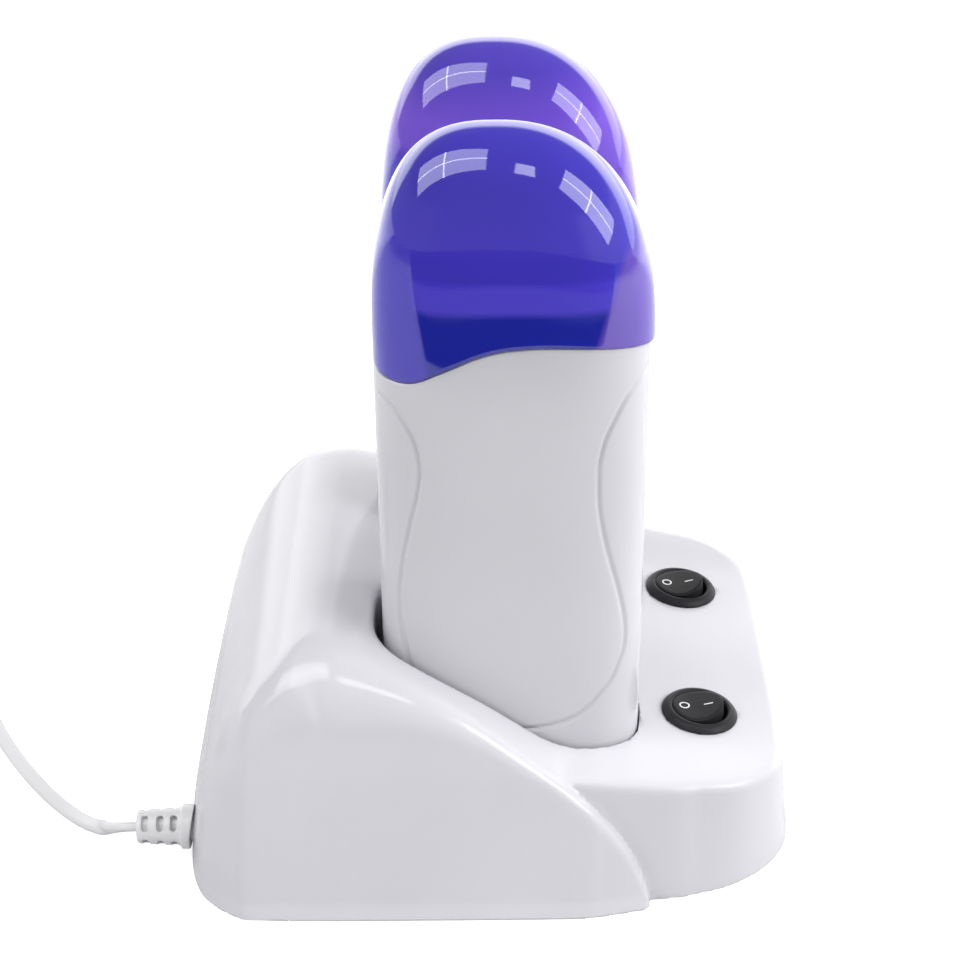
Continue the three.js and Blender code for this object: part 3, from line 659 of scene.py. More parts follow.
def relief_fn(x, y, z):
    dy, dz = y - CORD_Y, z - CORD_Z
    r = np.hypot(dy, dz)
    t = np.clip((x - (RX - 16)) / 13.0, 0, 1)
    rad = 4.75 + 0.75 * t
    f = smax(np.maximum(r - rad, (RX - 16) - x), x - (RX - 1), 0.9)
    f = smax(f, (RX - 15.6) - x, 1.2)
    reach = np.where(dz > 0, 0.17, 0.04) * dz - 0.05
    flange = smax(r - 6.4, np.maximum((RX - 2.7) - x, x - RX - reach), 0.5)
    f = smin(f, flange, 0.35)
    neck = np.maximum(r - 3.9, np.abs(x - (RX + 3.1)) - 3.4)
    grip = np.maximum(r - 5.4, np.abs(x - (RX + 7.1)) - 0.9)
    f = np.minimum(f, np.minimum(neck, grip))
    # three rings of bending slots, four short slots in each ring
    ang = np.arctan2(dz, dy)
    step = math.pi / 2
    off = (ang - math.radians(132.0) + step / 2) % step - step / 2
    for cx in (-12.9, -8.5, -4.6):
        slot = np.maximum(np.hypot(np.maximum(np.abs(off) * r - 1.45, 0), x - (RX + cx)) - 0.95, 3.5 - r)
        f = smax(f, -slot, 0.35)
    # flat oval passage for the twin lead
    hole = np.maximum(np.hypot(np.maximum(np.abs(dy * 0.79 - dz * 0.62) - 0.8, 0), dy * 0.62 + dz * 0.79) - 1.42, x - (RX - 13.5))
    return np.maximum(f, -hole)


rv, rq = surface_nets(relief_fn, (RX - 17, CORD_Y - 7, CORD_Z - 7), (RX + 9, CORD_Y + 7, CORD_Z + 7), RELIEF_N)
relief = make("vis_strain_relief", rv, rq, PVC, "base", ["strain_relief"], sharp=38)

# ---- base shell ----------------------------------------------------------------------
BODY_PROFILE = [
    (-87.5, 0), (-86.2, 14), (-83.4, 26), (-79.2, 40), (-75, 49.4), (-68.5, 59.2), (-60, 68.2), (-52.5, 74.2), (-46, 76),
    (-40, 75.2), (-29.5, 71.5), (-16.5, 66), (-2.5, 58), (10.5, 48.5), (22.5, 39), (31, 30.5), (38.1, 20.5), (44.1, 7), (45.7, 0),
]
PLAN_HALF = [
    (-87.5, 0), (-87.1, 30), (-86, 45), (-84.8, 56.8), (-82.3, 65.9), (-78.3, 72.5), (-70.3, 78.5), (-62.1, 80.3),
    (-13.3, 80.5), (24.4, 80.3), (32.3, 79.4), (39.9, 77.8), (47, 76),
]
WALL_Y = [(82.0, 0), (80.4, 5), (78.0, 22), (74.6, 44), (71.4, 60), (69.0, 72), (67.6, 80)]
FRONT_HALF = [(0, 74.1), (46.3, 73.7), (60.5, 71.0), (70.2, 67.3), (79.3, 60.4), (84.9, 52.8), (88.0, 43.5), (89.0, 30)]


def dense(pts, per=8):
    return [tuple(p) for p in catmull(pts, per)]


prof = dense(BODY_PROFILE, 6)
prof2 = [(prof[0][0] + 0.9, -18.0)] + prof + [(prof[-1][0] + 1.0, -18.0)]
F_PROFILE = Field2D(prof2)
half = dense(PLAN_HALF, 6)
_e = 0.6


def profile_nx2(x, z):
    """Square of the profile normal's X part: 1 on the upright rear wall, 0 on top of the hump."""
    gx = F_PROFILE(x + _e, z) - F_PROFILE(x - _e, z)
    gz = F_PROFILE(x, z + _e) - F_PROFILE(x, z - _e)
    return gx * gx / np.maximum(gx * gx + gz * gz, 1e-9)


F_PLAN = Field2D([(x, -y) for x, y in half] + [(x, y) for x, y in reversed(half) if y > 0.01])
fh = dense(FRONT_HALF, 6)
F_FRONT = Field2D([(x, -y) for x, y in fh] + [(x, y) for x, y in reversed(fh)] + [])
REAR_Z = np.array([p[1] for p in BODY_PROFILE[:9]])
REAR_X = np.array([p[0] + 87.5 for p in BODY_PROFILE[:9]])
WY = np.array([p[0] for p in WALL_Y])
WZ = np.array([p[1] for p in WALL_Y])


def sstep(a, c, v):
    t = np.clip((v - a) / (c - a), 0, 1)
    return t * t * (3 - 2 * t)


def body_a(x, y, z):
    """Rear body: hump profile, leaning walls, soft shoulders."""
    side = F_PROFILE(x, z)
    zc = np.clip(z, 0, 76)
    w = 1 - sstep(-85.5, -53.5, x)
    lean = np.interp(zc, REAR_Z, REAR_X) * 0.55
    shrink = np.interp(z, WZ, WY) / 80.5
    plan = F_PLAN(x - w * lean, y / np.where(np.abs(y) > 1, shrink, 1.0)) * 0.985
    # shoulder radius: wide over the hump, tight where the skirt falls to the deck
    k = np.interp(x, [-50, -35, -20, 0, 20, 46], [22.5, 19, 12.5, 7, 4.2, 3.0])
    k = np.maximum(k * np.sqrt(np.clip(1 - profile_nx2(x, np.clip(z, 0, 90)), 0, 1)), 1.2)
    return smax(plan, side, k)


def deck_z(x):
    return DECK_Z - DECK_TILT * (x - SWITCH_X) - 0.4 * sstep(30, 0, x)


def body_b(x, y, z):
    """Front deck body with the switch panel."""
    zz = np.clip(z, 0, 40)
    corner = sstep(52, 74, x) * sstep(38, 58, np.abs(y)) * zz / 34.0
    xs = x + (3.7 * zz / 34.0 - 2.3 * corner) * sstep(50, 66, x)
    ys = y / (1 - 0.027 * zz / 34.0) * (1 - 0.03 * corner)
    plan = F_FRONT(xs, ys)
    top = (z - deck_z(x) - 0.5 * sstep(44, 70, np.abs(y))) / math.sqrt(1 + DECK_TILT**2)
    return smax(plan, top, 2.4)


def super_sd(x, y, hx, hy, n):
    r = (np.abs(x / hx) ** n + np.abs(y / hy) ** n) ** (1 / n)
    r = np.maximum(r, 1e-4)
    gx = np.abs(x / hx) ** (n - 1) / hx * r ** (1 - n)
    gy = np.abs(y / hy) ** (n - 1) / hy * r ** (1 - n)
    return (r - 1) / np.maximum(np.hypot(gx, gy), 1e-6)


def outer_base(x, y, z):
    a = body_a(x, y, z)
    c = body_b(x, y, z)
    # a broad blend along the S line and deck, a crisp step on the outer sides
    k = 1.2 + 5.9 * sstep(0.93, 0.6, np.abs(y) / 76.0)
    return smin(a, c, k)


FEET_POSTS = ((-62, -58), (-62, 58), (66, -52), (66, 52))
SIDES = (("near", -1), ("far", 1))
ct, st = math.cos(TILT), math.sin(TILT)


def base_fn(x, y, z):
    o = outer_base(x, y, z)
    hollow = o + 2.6
    rim = np.where(z < 6, np.maximum(o + 2.6, 0) * 0 + (o + 2.6), hollow)
    f = np.maximum(o, -np.where(z < 2.5, rim, hollow))
    f = smax(f, 0.1 - z, 1.1)
    for _, s in SIDES:
        yl = y - s * HY
        well = super_sd(x - HEATER_X + 1.0, yl, BODY_HX + 1.27, BODY_HY + 0.7, PLAN_N)
        sleeve = np.maximum(np.maximum(well - 2.2, o), 14.0 - z)
        f = np.minimum(f, sleeve)
        bore = np.maximum(well, 16.2 - z)
        f = smax(f, -bore, 1.8 - 1.1 * sstep(0, 30, x))
        f = np.maximum(f, -np.maximum(np.maximum(np.abs(x - HEATER_X) - 12.6, np.abs(yl) - 6.6), 5 - z + 0 * x) - 40 * (z > 25))
        # switch hole square to the deck
        dx, dz = x - SWITCH_X, z - DECK_Z
        lx = dx * ct - dz * st
        lz = dx * st + dz * ct
        f = np.maximum(f, -np.maximum(np.hypot(lx, yl) - 10.2, np.abs(lz) - 8.0))
    r = np.hypot(y - CORD_Y, z - CORD_Z)
    f = np.maximum(f, -np.maximum(r - 4.4, x + 60))
    f = smax(f, -np.maximum(r - 6.6, x - RELIEF_X), 0.8)
    for px, py in FEET_POSTS:
        rr = np.hypot(x - px, y - py)
        f = np.minimum(f, np.maximum(np.maximum(rr - 4, 1.5 - rr), np.maximum(o, 5 - z)))
    return f


H = 1.15
v, q = surface_nets(base_fn, (-90.5, -83.5, -2.0), (90.5, 83.5, 79.5), H)
base_obj = make("vis_base_shell", v, q, WHITE, "base", ["base_top_shell"], sharp=32)
print("base shell", len(v), len(q))

# ---- heaters and caps ------------------------------------------------------------------
SEAM_PTS = [
    (-45, 153.4), (-35.7, 153.2), (-31.6, 152.9), (-28.7, 152.9), (-26.7, 153.1), (-24.1, 153.9), (-21, 155.7), (-17.1, 157.7),
    (-13.5, 159.5), (-10.2, 161.2), (-6.7, 162.4), (-3.2, 163.4), (1.9, 164), (6.9, 164.3), (10.9, 164.2), (17, 163.9),
    (23.1, 163.3), (27.3, 162.7), (31.5, 162.1), (34.8, 161.2), (37.5, 159.7), (45, 156),
]
SEAM_X = np.array([p[0] for p in SEAM_PTS])
SEAM_Z = np.array([p[1] for p in SEAM_PTS])
_sx = np.linspace(-45, 45, 361)
_sz = np.interp(_sx, SEAM_X, SEAM_Z)
for _ in range(60):
    _sz[1:-1] = 0.5 * _sz[1:-1] + 0.25 * (_sz[2:] + _sz[:-2])


def seam(x):
    return np.interp(x, _sx, _sz)


# decorative line on each face, two branches like an open hourglass, (x, z)
GROOVES = [
    [(-34.8, 146.5), (-32.4, 146.1), (-30, 144.2), (-28, 141.3), (-26, 138), (-24.8, 134.4), (-24.3, 130.9), (-24.1, 127.3),
     (-24.5, 123.6), (-25.4, 118.3), (-26.6, 113.2), (-27.8, 107), (-29.1, 100.3), (-29.9, 94.3), (-30.5, 88.7), (-30.5, 82.2),
     (-30.1, 76.2), (-29, 69.7), (-27.4, 63.5), (-25, 58), (-21.5, 53.4), (-17, 50), (-12, 48), (-7, 47)],
    [(36, 154), (33.2, 151.4), (30.3, 149.1), (28.2, 146), (26.4, 142.4), (24.7, 138.9), (23.4, 134.7), (22.6, 129.8), (22.5, 124.3),
     (22.7, 118.4), (23.4, 112.4), (24.8, 105.1), (26.6, 97.4), (28.2, 91.2), (29.5, 85.1), (30.4, 80), (30.8, 75.3), (30.4, 69.9),
     (29, 65.5), (27.2, 61.2), (24.4, 57.6), (20.8, 53.2), (17, 50.3), (12.3, 48.3), (7, 47.1), (0, 46.7), (-7, 47)],
]
GROOVE_W, GROOVE_D = 0.95, 0.55


def groove_depth(x, z):
    best = np.full(np.shape(x), 1e9)
    for line in GROOVES:
        p = catmull(line, 5)
        for a, c in zip(p[:-1], p[1:]):
            d = c - a
            t = np.clip(((x - a[0]) * d[0] + (z - a[1]) * d[1]) / max(d @ d, 1e-9), 0, 1)
            best = np.minimum(best, (x - a[0] - t * d[0]) ** 2 + (z - a[1] - t * d[1]) ** 2)
    u = np.clip(np.sqrt(best) / GROOVE_W, 0, 1)
    return GROOVE_D * (1 - u * u) ** 2 * (u < 1)


def outline_half(hx, hy, n, count, sign):
    """Half of the plan outline from +X to -X, evenly spaced; sign picks the side in Y."""
    t = np.linspace(0, math.pi, 2400)
    x = hx * np.sign(np.cos(t)) * np.abs(np.cos(t)) ** (2 / n)
    y = hy * np.abs(np.sin(t)) ** (2 / n)
    s = np.concatenate([[0], np.cumsum(np.hypot(np.diff(x), np.diff(y)))])
    q = np.linspace(0, s[-1], count)
    return np.interp(q, s, x), sign * np.maximum(np.interp(q, s, y), 0.15)


BODY_K = [(22, 0.9), (22.5, 0.935), (23.2, 0.957), (24.4, 0.975), (26, 0.988), (30, 0.994), (45, 0.998), (60, 1.0), (200, 1.0)]
KZ = np.array([p[0] for p in BODY_K])
KK = np.array([p[1] for p in BODY_K])


def shell_half(name, s, sign, body, node, cols, step):
    ux, uy = outline_half(1.0 * BODY_HX, 1.0 * BODY_HY, PLAN_N, cols, sign)
    zb = np.concatenate([[22, 22.25, 22.7, 23.2, 24, 25, 26.5, 28.5, 31, 34], np.arange(37, 150.0, step)])
    # fraction of the way from z 100 to the seam for the rows above z 100
    top_edge = seam(ux) - 0.16
    loops = []
    rows = []
    fz = zb[zb <= 100]
    for z in fz:
        rows.append(np.full(cols, z))
    nup = int(60 / step)
    for k in range(1, nup + 1):
        f = k / nup
        rows.append(100 + (top_edge - 0.45 - 100) * f)
    Z = np.array(rows)
    K = np.interp(Z, KZ, KK)
    # outer face, pushed in by the line on the front
    nx = np.gradient(ux)
    ny = np.gradient(uy)
    ln = np.maximum(np.hypot(nx, ny), 1e-9)
    ox, oy = ny / ln, -nx / ln
    if np.mean(ox * ux + oy * uy) < 0:
        ox, oy = -ox, -oy
    # keep the split edges square to the wall
    ox[0], oy[0], ox[-1], oy[-1] = 1, 0, -1, 0
    X = ux[None, :] * K
    Y = uy[None, :] * np.where(np.abs(uy)[None, :] > 0.2, K, 1.0)
    D = np.zeros_like(X)
    if sign < 0:
        fade = np.clip((np.abs(oy) - 0.12) / 0.25, 0, 1)
        D = groove_depth(X, Z) * fade[None, :]
    X = X - ox[None, :] * D
    Y = np.minimum(Y - oy[None, :] * D, -0.15) if sign < 0 else np.maximum(Y, 0.15)
    # rounded rim at the seam, then the inner wall, floor and the opening for the contacts
    out_rows = [(X[i], Y[i], Z[i]) for i in range(len(Z))]

    def off(d):
        yy = uy - oy * d
        yy = np.minimum(yy, -0.15) if sign < 0 else np.maximum(yy, 0.15)
        return ux - ox * d, yy

    for d, dz in ((0.04, -0.22), (0.16, -0.06), (0.36, 0.0), (SHELL_T - 0.25, 0.0), (SHELL_T, -0.3)):
        a, c = off(d)
        out_rows.append((a, c, top_edge + dz))
    for z in (120.0, 70.0, 30.0, 25.5):
        a, c = off(SHELL_T + (0.9 if z < 26 else 0.2))
        out_rows.append((a, c, np.full(cols, z)))
    a, c = off(SHELL_T + 2.2)
    out_rows.append((a, c, np.full(cols, 24.3)))
    # edge of the opening, on a rectangle with the same angle as the outline point
    ang = np.maximum(np.abs(ux / 13.6), np.abs(uy / 7.6))
    ex, ey = ux / ang, uy / ang
    ey = np.minimum(ey, -0.15) if sign < 0 else np.maximum(ey, 0.15)
    out_rows.append((ex, ey, np.full(cols, 24.2)))
    out_rows.append((ex, ey, np.full(cols, 22.0)))
    n = len(out_rows)
    P = np.stack([np.stack(r, -1) for r in out_rows], 1)  # cols, n, 3
    verts = P.reshape(-1, 3) + np.array([HEATER_X, s * HY, 0])
    faces = []
    for i in range(cols - 1):
        for j in range(n):
            a0, a1 = i * n + j, i * n + (j + 1) % n
            q4 = (a0, a1, a1 + n, a0 + n)
            faces.append(q4 if sign > 0 else q4[::-1])
    e0 = tuple(range(n))
    e1 = tuple((cols - 1) * n + j for j in range(n))
    faces.append(e0[::-1] if sign > 0 else e0)
    faces.append(e1 if sign > 0 else e1[::-1])
    return make(name, verts, faces, WHITE_BODY, body, [node], sharp=38)


def fix_normals(o):
    bm = bmesh.new()
    bm.from_mesh(o.data)
    bmesh.ops.recalc_face_normals(bm, faces=bm.faces)
    bm.to_mesh(o.data)
    bm.free()
    o.data.update()


def cut_with(o, cutters):
    """Takes plain cylinders out of a piece; the cutters don't stay."""
    for c in cutters:
        md = o.modifiers.new("cut", "BOOLEAN")
        md.operation = "DIFFERENCE"
        md.solver = "EXACT"
        md.object = c
    dg = bpy.context.evaluated_depsgraph_get()
    me = bpy.data.meshes.new_from_object(o.evaluated_get(dg))
    o.modifiers.clear()
    old = o.data
    o.data = me
    bpy.data.meshes.remove(old)
    for c in cutters:
        bpy.data.objects.remove(c)
    o.data.shade_smooth()
    o.data.set_sharp_from_angle(angle=math.radians(35))


def plain_cylinder(r, length, at, axis="Y", seg=40):
    v0, f0 = lathe([(0, -length / 2), (r, -length / 2), (r, length / 2), (0, length / 2)], seg)
    v1 = np.stack([v0[:, 0], -v0[:, 2], v0[:, 1]], 1) if axis == "Y" else v0
    me = bpy.data.meshes.new("cutter")
    me.from_pydata(((v1 + np.array(at)) * MM).tolist(), [], f0)
    o = bpy.data.objects.new("cutter", me)
    bpy.context.scene.collection.objects.link(o)
    fix_normals(o)
    return o


CAP_A, CAP_B, CAP_N = CAP_HX, CAP_HY, 2.45


def cap_m(t):
    return 3.1 - 0.8 * np.clip(t, 0, 1)


CAP_Z0 = 160.0


def cap_mesh(name, s, body, node, cols, rows_n):
    th = np.linspace(0, 2 * math.pi, cols, endpoint=False)
    # even spacing round the skirt
    dense_t = np.linspace(0, 2 * math.pi, 8001)

    def section(tt, a, bb, t):
        c, sn = np.cos(tt), np.sin(tt)
        sc = np.maximum(1 - np.clip(t, 0, 1) ** CAP_N, 0) ** (1 / CAP_N)
        x = a * sc * np.sign(c) * np.abs(c) ** (2 / CAP_N)
        r = np.maximum(1 - sc**CAP_N * sn * sn, 0) ** (1 / CAP_N)
        mm = cap_m(t)
        y = bb * np.sign(sn) * np.maximum(1 - r**mm, 0) ** (1 / mm)
        return x, y

    dx, dy = section(dense_t, CAP_A, CAP_B, 0.0)
    sl = np.concatenate([[0], np.cumsum(np.hypot(np.diff(dx), np.diff(dy)))])
    th = np.interp(np.linspace(0, sl[-1], cols, endpoint=False), sl, dense_t)
    rows = []

    def sheet(inset, order, edge):
        a, bb, top = CAP_A - inset, CAP_B - inset, TOP_Z - inset
        out = []
        for f in order:
            g = math.sin(math.pi / 2 * f)
            z = np.full(cols, 165.0)
            for _ in range(6):
                t = np.clip((z - CAP_Z0) / (top - CAP_Z0), 0, 1)
                x, y = section(th, a, bb, t)
                xs = x + 0.55 * (1 - t) - 4.3 * t**3
                z = (seam(xs) + 0.16 + edge) + (top - seam(xs) - 0.16 - edge) * g
            out.append(np.stack([xs, y, z], -1))
        return out

    fr = [k / rows_n for k in range(rows_n)]
    outer = sheet(0.0, fr, 0.35)
    inner = sheet(CAP_T, fr, 0.3)
    low = []
    # rounded rim
    for d, dz in ((CAP_T - 0.3, 0.0), (0.35, 0.0), (0.1, 0.12)):
        base_x, base_y = section(th, CAP_A - d, CAP_B - d, 0.0)
        xs = base_x + 0.55
        low.append(np.stack([xs, base_y, seam(xs) + 0.16 + dz], -1))
    tops = np.array([[-4.3, 0, TOP_Z - CAP_T], [-4.3, 0, TOP_Z]])
    seq = list(reversed(inner)) + low + outer
    P = np.concatenate(seq)
    n = cols
    verts = np.concatenate([P, tops])
    faces = []
    for i in range(len(seq) - 1):
        for j in range(n):
            a0, a1 = i * n + j, i * n + (j + 1) % n
            faces.append((a0, a1, a1 + n, a0 + n))
    ti, to = len(P), len(P) + 1
    for j in range(n):
        faces.append((ti, (j + 1) % n, j))
        last = (len(seq) - 1) * n
        faces.append((to, last + j, last + (j + 1) % n))
    verts = verts + np.array([HEATER_X, s * HY, 0])
    o = make(name, verts, faces, VIOLET if s < 0 else VIOLET_FAR_PAINTED_BACKLIGHT, body, [node], sharp=50)
    fix_normals(o)
    return o


Q = 1.0
for side, s in SIDES:
    front = shell_half("vis_heater_%s_front" % side, s, -1, "heater_" + side, "heater_%s_front_shell" % side, int(260 * Q), 0.7 / Q)
    back = shell_half("vis_heater_%s_back" % side, s, 1, "heater_" + side, "heater_%s_back_shell" % side, int(140 * Q), 1.6 / Q)
    fix_normals(front)
    fix_normals(back)
    cut_with(back, [plain_cylinder(2.15, 30, (HEATER_X + px, s * HY + 10.6 + 15, 46)) for px in (-29.5, 29.5)])
    for sn, px in (("left", -29.5), ("right", 29.5)):
        well_y = 17.6
        tv, tf = lathe([(2.16, 8.4), (3.3, 8.4), (3.3, well_y), (2.16, well_y + 0.4)], 40)
        t1 = np.stack([tv[:, 0], tv[:, 2], tv[:, 1]], 1) + np.array([HEATER_X + px, s * HY, 46])
        tube_o = make("vis_heater_%s_screw_well_%s" % (side, sn), t1, tf, WHITE_BODY, "heater_" + side, [], sharp=35)
        fix_normals(tube_o)
        # screw with a cross recess

        def screw_fn(x, y, z, px=px, s=s):
            dx, dz, dy = x - HEATER_X - px, z - 46.0, y - s * HY
            r = np.hypot(dx, dz)
            head = smax(r - 1.95, np.abs(dy - 11.7) - 0.75, 0.4)
            shaft = np.maximum(r - 1.0 - 0.14 * np.sin(dy * 2 * math.pi / 0.9), np.abs(dy - 1.4) - 9.6)
            cross = np.maximum(np.minimum(np.maximum(np.abs(dx) - 0.26, np.abs(dz) - 1.15), np.maximum(np.abs(dz) - 0.26, np.abs(dx) - 1.15)), 11.6 - dy)
            return np.maximum(np.minimum(head, shaft), -cross)

        c0 = np.array([HEATER_X + px, s * HY, 46.0])
        sv, sq = surface_nets(screw_fn, c0 + [-2.6, -9.4, -2.6], c0 + [2.6, 13.2, 2.6], 0.22, 2)
        make("vis_heater_%s_screw_%s" % (side, sn), sv, sq, STEEL, "heater_" + side, ["heater_%s_screw_%s" % (side, sn)], sharp=40)
    cap_mesh("vis_cap_" + side, s, "cap_" + side, "cap_" + side, int(300 * Q), int(90 * Q))

# ---- switches -----------------------------------------------------------------------------
REST = math.radians(11.5)


def deck_local(verts, s):
    return turn(verts, rot_y(TILT), (SWITCH_X, s * HY, DECK_Z))


def rocker_top(x, y):
    base = 3.75 + 1.3 * (x / 7.3) ** 2 - 0.05 * (y / 7.3) ** 2
    r = np.hypot(x, y)
    edge = np.clip((r - 6.5) / 0.8, 0, 1)
    return base - 0.4 * edge**2


for side, s in SIDES:
    hp = round_profile([(9.6, -15), (9.6, 0.05), (11.0, 0.05), (11.0, 0.55), (10.1, 1.75), (8.75, 2.25), (7.95, 1.7), (7.85, -2.6), (8.8, -3.2), (8.8, -12.8), (0, -12.8)], 0.45, 4)
    hp = [(0, -15)] + hp
    hv, hf = lathe(hp, 128)
    ho = make("vis_switch_housing_" + side, deck_local(hv, s), hf, BLACK, "base", ["switch_housing_" + side], sharp=32)
    fix_normals(ho)
    # rocker button: round, dished along X
    rad = [0, 0.8, 1.7, 2.6, 3.5, 4.3, 5.1, 5.8, 6.3, 6.7, 7.0, 7.2, 7.3]
    seg = 96
    rv, rf, rowsi = [], [], []
    for r in rad:
        if r == 0:
            rowsi.append([0])
            rv.append((0, 0, float(rocker_top(0.0, 0.0))))
            continue
        ids = []
        for k in range(seg):
            a = 2 * math.pi * k / seg
            x, y = r * math.cos(a), r * math.sin(a)
            ids.append(len(rv))
            rv.append((x, y, float(rocker_top(x, y))))
        rowsi.append(ids)
    for r, z in ((7.3, 1.6), (7.25, 0.4), (6.7, -1.6), (6.4, -5.2), (6.0, -5.5)):
        ids = []
        for k in range(seg):
            a = 2 * math.pi * k / seg
            ids.append(len(rv))
            rv.append((r * math.cos(a), r * math.sin(a), z))
        rowsi.append(ids)
    for a, c in zip(rowsi[:-1], rowsi[1:]):
        for k in range(seg):
            k2 = (k + 1) % seg
            if len(a) == 1:
                rf.append((a[0], c[k], c[k2]))
            else:
                rf.append((a[k], c[k], c[k2], a[k2]))
    rf.append(tuple(reversed(rowsi[-1])))
    rot = rot_y(-REST)
    rvw = turn(rv, rot, (0, 0, -1.1))
    ro = make("vis_rocker_" + side, deck_local(rvw, s), rf, BLACK_SATIN, "rocker_" + side, ["rocker_" + side], sharp=35)
    fix_normals(ro)

    def decal(name, outline_outer, outline_inner=None):
        """Thin raised mark following the button's top."""
        vv, ff = [], []
        n = len(outline_outer)
        lift = (0.035, -0.1)
        loops = [outline_outer] if outline_inner is None else [outline_outer, outline_inner]
        for h in lift:
            for lp in loops:
                for x, y in lp:
                    vv.append((x, y, float(rocker_top(x, y)) + h))
        if outline_inner is None:
            ff.append(tuple(range(n)))
            ff.append(tuple(n + i for i in reversed(range(n))))
            for i in range(n):
                ff.append((i, n + i, n + (i + 1) % n, (i + 1) % n))
        else:
            for i in range(n):
                j = (i + 1) % n
                ff.append((i, j, n + j, n + i))
                ff.append((2 * n + i, 3 * n + i, 3 * n + j, 2 * n + j))
                ff.append((i, 2 * n + i, 2 * n + j, j))
                ff.append((n + i, n + j, 3 * n + j, 3 * n + i))
        o = make(name, deck_local(turn(vv, rot, (0, 0, -1.1)), s), ff, MARK, "rocker_" + side, [], sharp=30)
        fix_normals(o)

    circ = lambda cx, r: [(cx + r * math.cos(2 * math.pi * k / 48), r * math.sin(2 * math.pi * k / 48)) for k in range(48)]
    decal("vis_mark_o_" + side, circ(-3.9, 1.5), circ(-3.9, 1.08))
    bar = [(x, -0.22) for x in (1.7, 2.2, 2.7, 3.2, 3.7, 4.3)] + [(x, 0.22) for x in (4.3, 3.7, 3.2, 2.7, 2.2, 1.7)]
    decal("vis_mark_i_" + side, bar)

# ---- underside pieces ------------------------------------------------------------------------
FEET = [(-60, -40), (-60, 40), (62, -34), (62, 34)]
for (x, y), nm in zip(FEET, ("rear_near", "rear_far", "front_near", "front_far")):
    fp = [(0, 0.35), (2.4, 0.35), (2.7, 0.0), (6.3, 0.0), (6.75, 0.15), (7.0, 0.6), (7.0, 1.1), (6.8, 1.3), (3.0, 1.3), (3.0, 3.7), (3.55, 3.9), (3.2, 4.6), (0, 4.6)]
    fv, ff = lathe(fp, 64)
    o = make("vis_foot_" + nm, fv + np.array([x, y, 0]), ff, RUBBER, "base", ["foot_" + nm], sharp=35)
    fix_normals(o)
for (x, y), nm in zip(FEET_POSTS, ("rear_near", "rear_far", "front_near", "front_far")):
    def bscrew(px, py, pz, x=x, y=y):
        dx, dy = px - x, py - y
        r = np.hypot(dx, dy)
        head = smax(r - 2.95, np.abs(pz - 1.7) - 0.68, 0.6)
        shaft = np.maximum(r - 1.15 - 0.16 * np.sin(pz * 2 * math.pi / 1.2), np.abs(pz - 8.4) - 6.6)
        cross = np.maximum(np.minimum(np.maximum(np.abs(dx) - 0.36, np.abs(dy) - 1.6), np.maximum(np.abs(dy) - 0.36, np.abs(dx) - 1.6)), pz - 1.75)
        return np.maximum(np.minimum(head, shaft), -cross)

    c0 = np.array([x, y, 0.0])
    sv, sq = surface_nets(bscrew, c0 + [-3.6, -3.6, 0.5], c0 + [3.6, 3.6, 15.6], 0.25, 2)
    make("vis_base_screw_" + nm, sv, sq, STEEL, "base", ["base_screw_" + nm], sharp=40)

# ---- finishes on the CAD pieces that stay -------------------------------------------------------
CAD_LOOK = [
    ("base_bottom_plate", WHITE_IN, 0.35), ("dock_socket", BLACK, 0.3), ("contact_pin", BRASS, 0.12), ("switch_terminal", BRASS, 0.1),
    ("mains_terminal_block", WHITE_IN, 0.3), ("inner_lead", PVC, 0), ("neck_ring", WHITE_IN, 0.25), ("chamber", ALU, 0.2),
    ("ptc_heater", CERAMIC, 0.3), ("thermal_cutout", STEEL, 0.4), ("inlet", BLACK, 0.3),
]
for obj in list(bpy.context.scene.objects):
    if obj.type != "MESH" or obj.hide_render or obj.name.startswith("vis_"):
        continue
    for key, mat, bevel in CAD_LOOK:
        if key in obj.name:
            obj.data.materials.clear()
            obj.data.materials.append(mat)
            if bevel:
                md = obj.modifiers.new("edge", "BEVEL")
                md.width = bevel * MM
                md.segments = 3
                md.limit_method = "ANGLE"
                md.angle_limit = math.radians(40)
            if key in ("contact_pin", "inner_lead", "thermal_cutout"):
                obj.data.shade_smooth()
                obj.data.set_sharp_from_angle(angle=math.radians(50))
            break
    else:
        print("no finish for", obj.name)

# ---- floor, world and lights -------------------------------------------------------------------
FLOOR_LIFT = 0.7
FLOOR, nt, b = new_mat("pale_floor")
far_tone = ramp(nt, noise(nt, 3.0, 2.0), (0.63, 0.63, 0.64), (0.65, 0.65, 0.66))
_tc = nt.nodes.new("ShaderNodeTexCoord")
_sp = nt.nodes.new("ShaderNodeSeparateXYZ")
nt.links.new(_tc.outputs["Object"], _sp.inputs["Vector"])


def fmath(op, a, c):
    n = nt.nodes.new("ShaderNodeMath")
    n.operation = op
    for i, v in enumerate((a, c)):
        if isinstance(v, (int, float)):
            n.inputs[i].default_value = v
        else:
            nt.links.new(v, n.inputs[i])
    return n.outputs[0]


# front edge of the table top: y = -0.355 - 0.6 (|x| - 0.19)
over = fmath("MAXIMUM", fmath("SUBTRACT", fmath("ABSOLUTE", _sp.outputs["X"], 0.0), 0.19), 0.0)
edge_y = fmath("ADD", fmath("ADD", _sp.outputs["Y"], 0.355), fmath("MULTIPLY", over, 0.6))
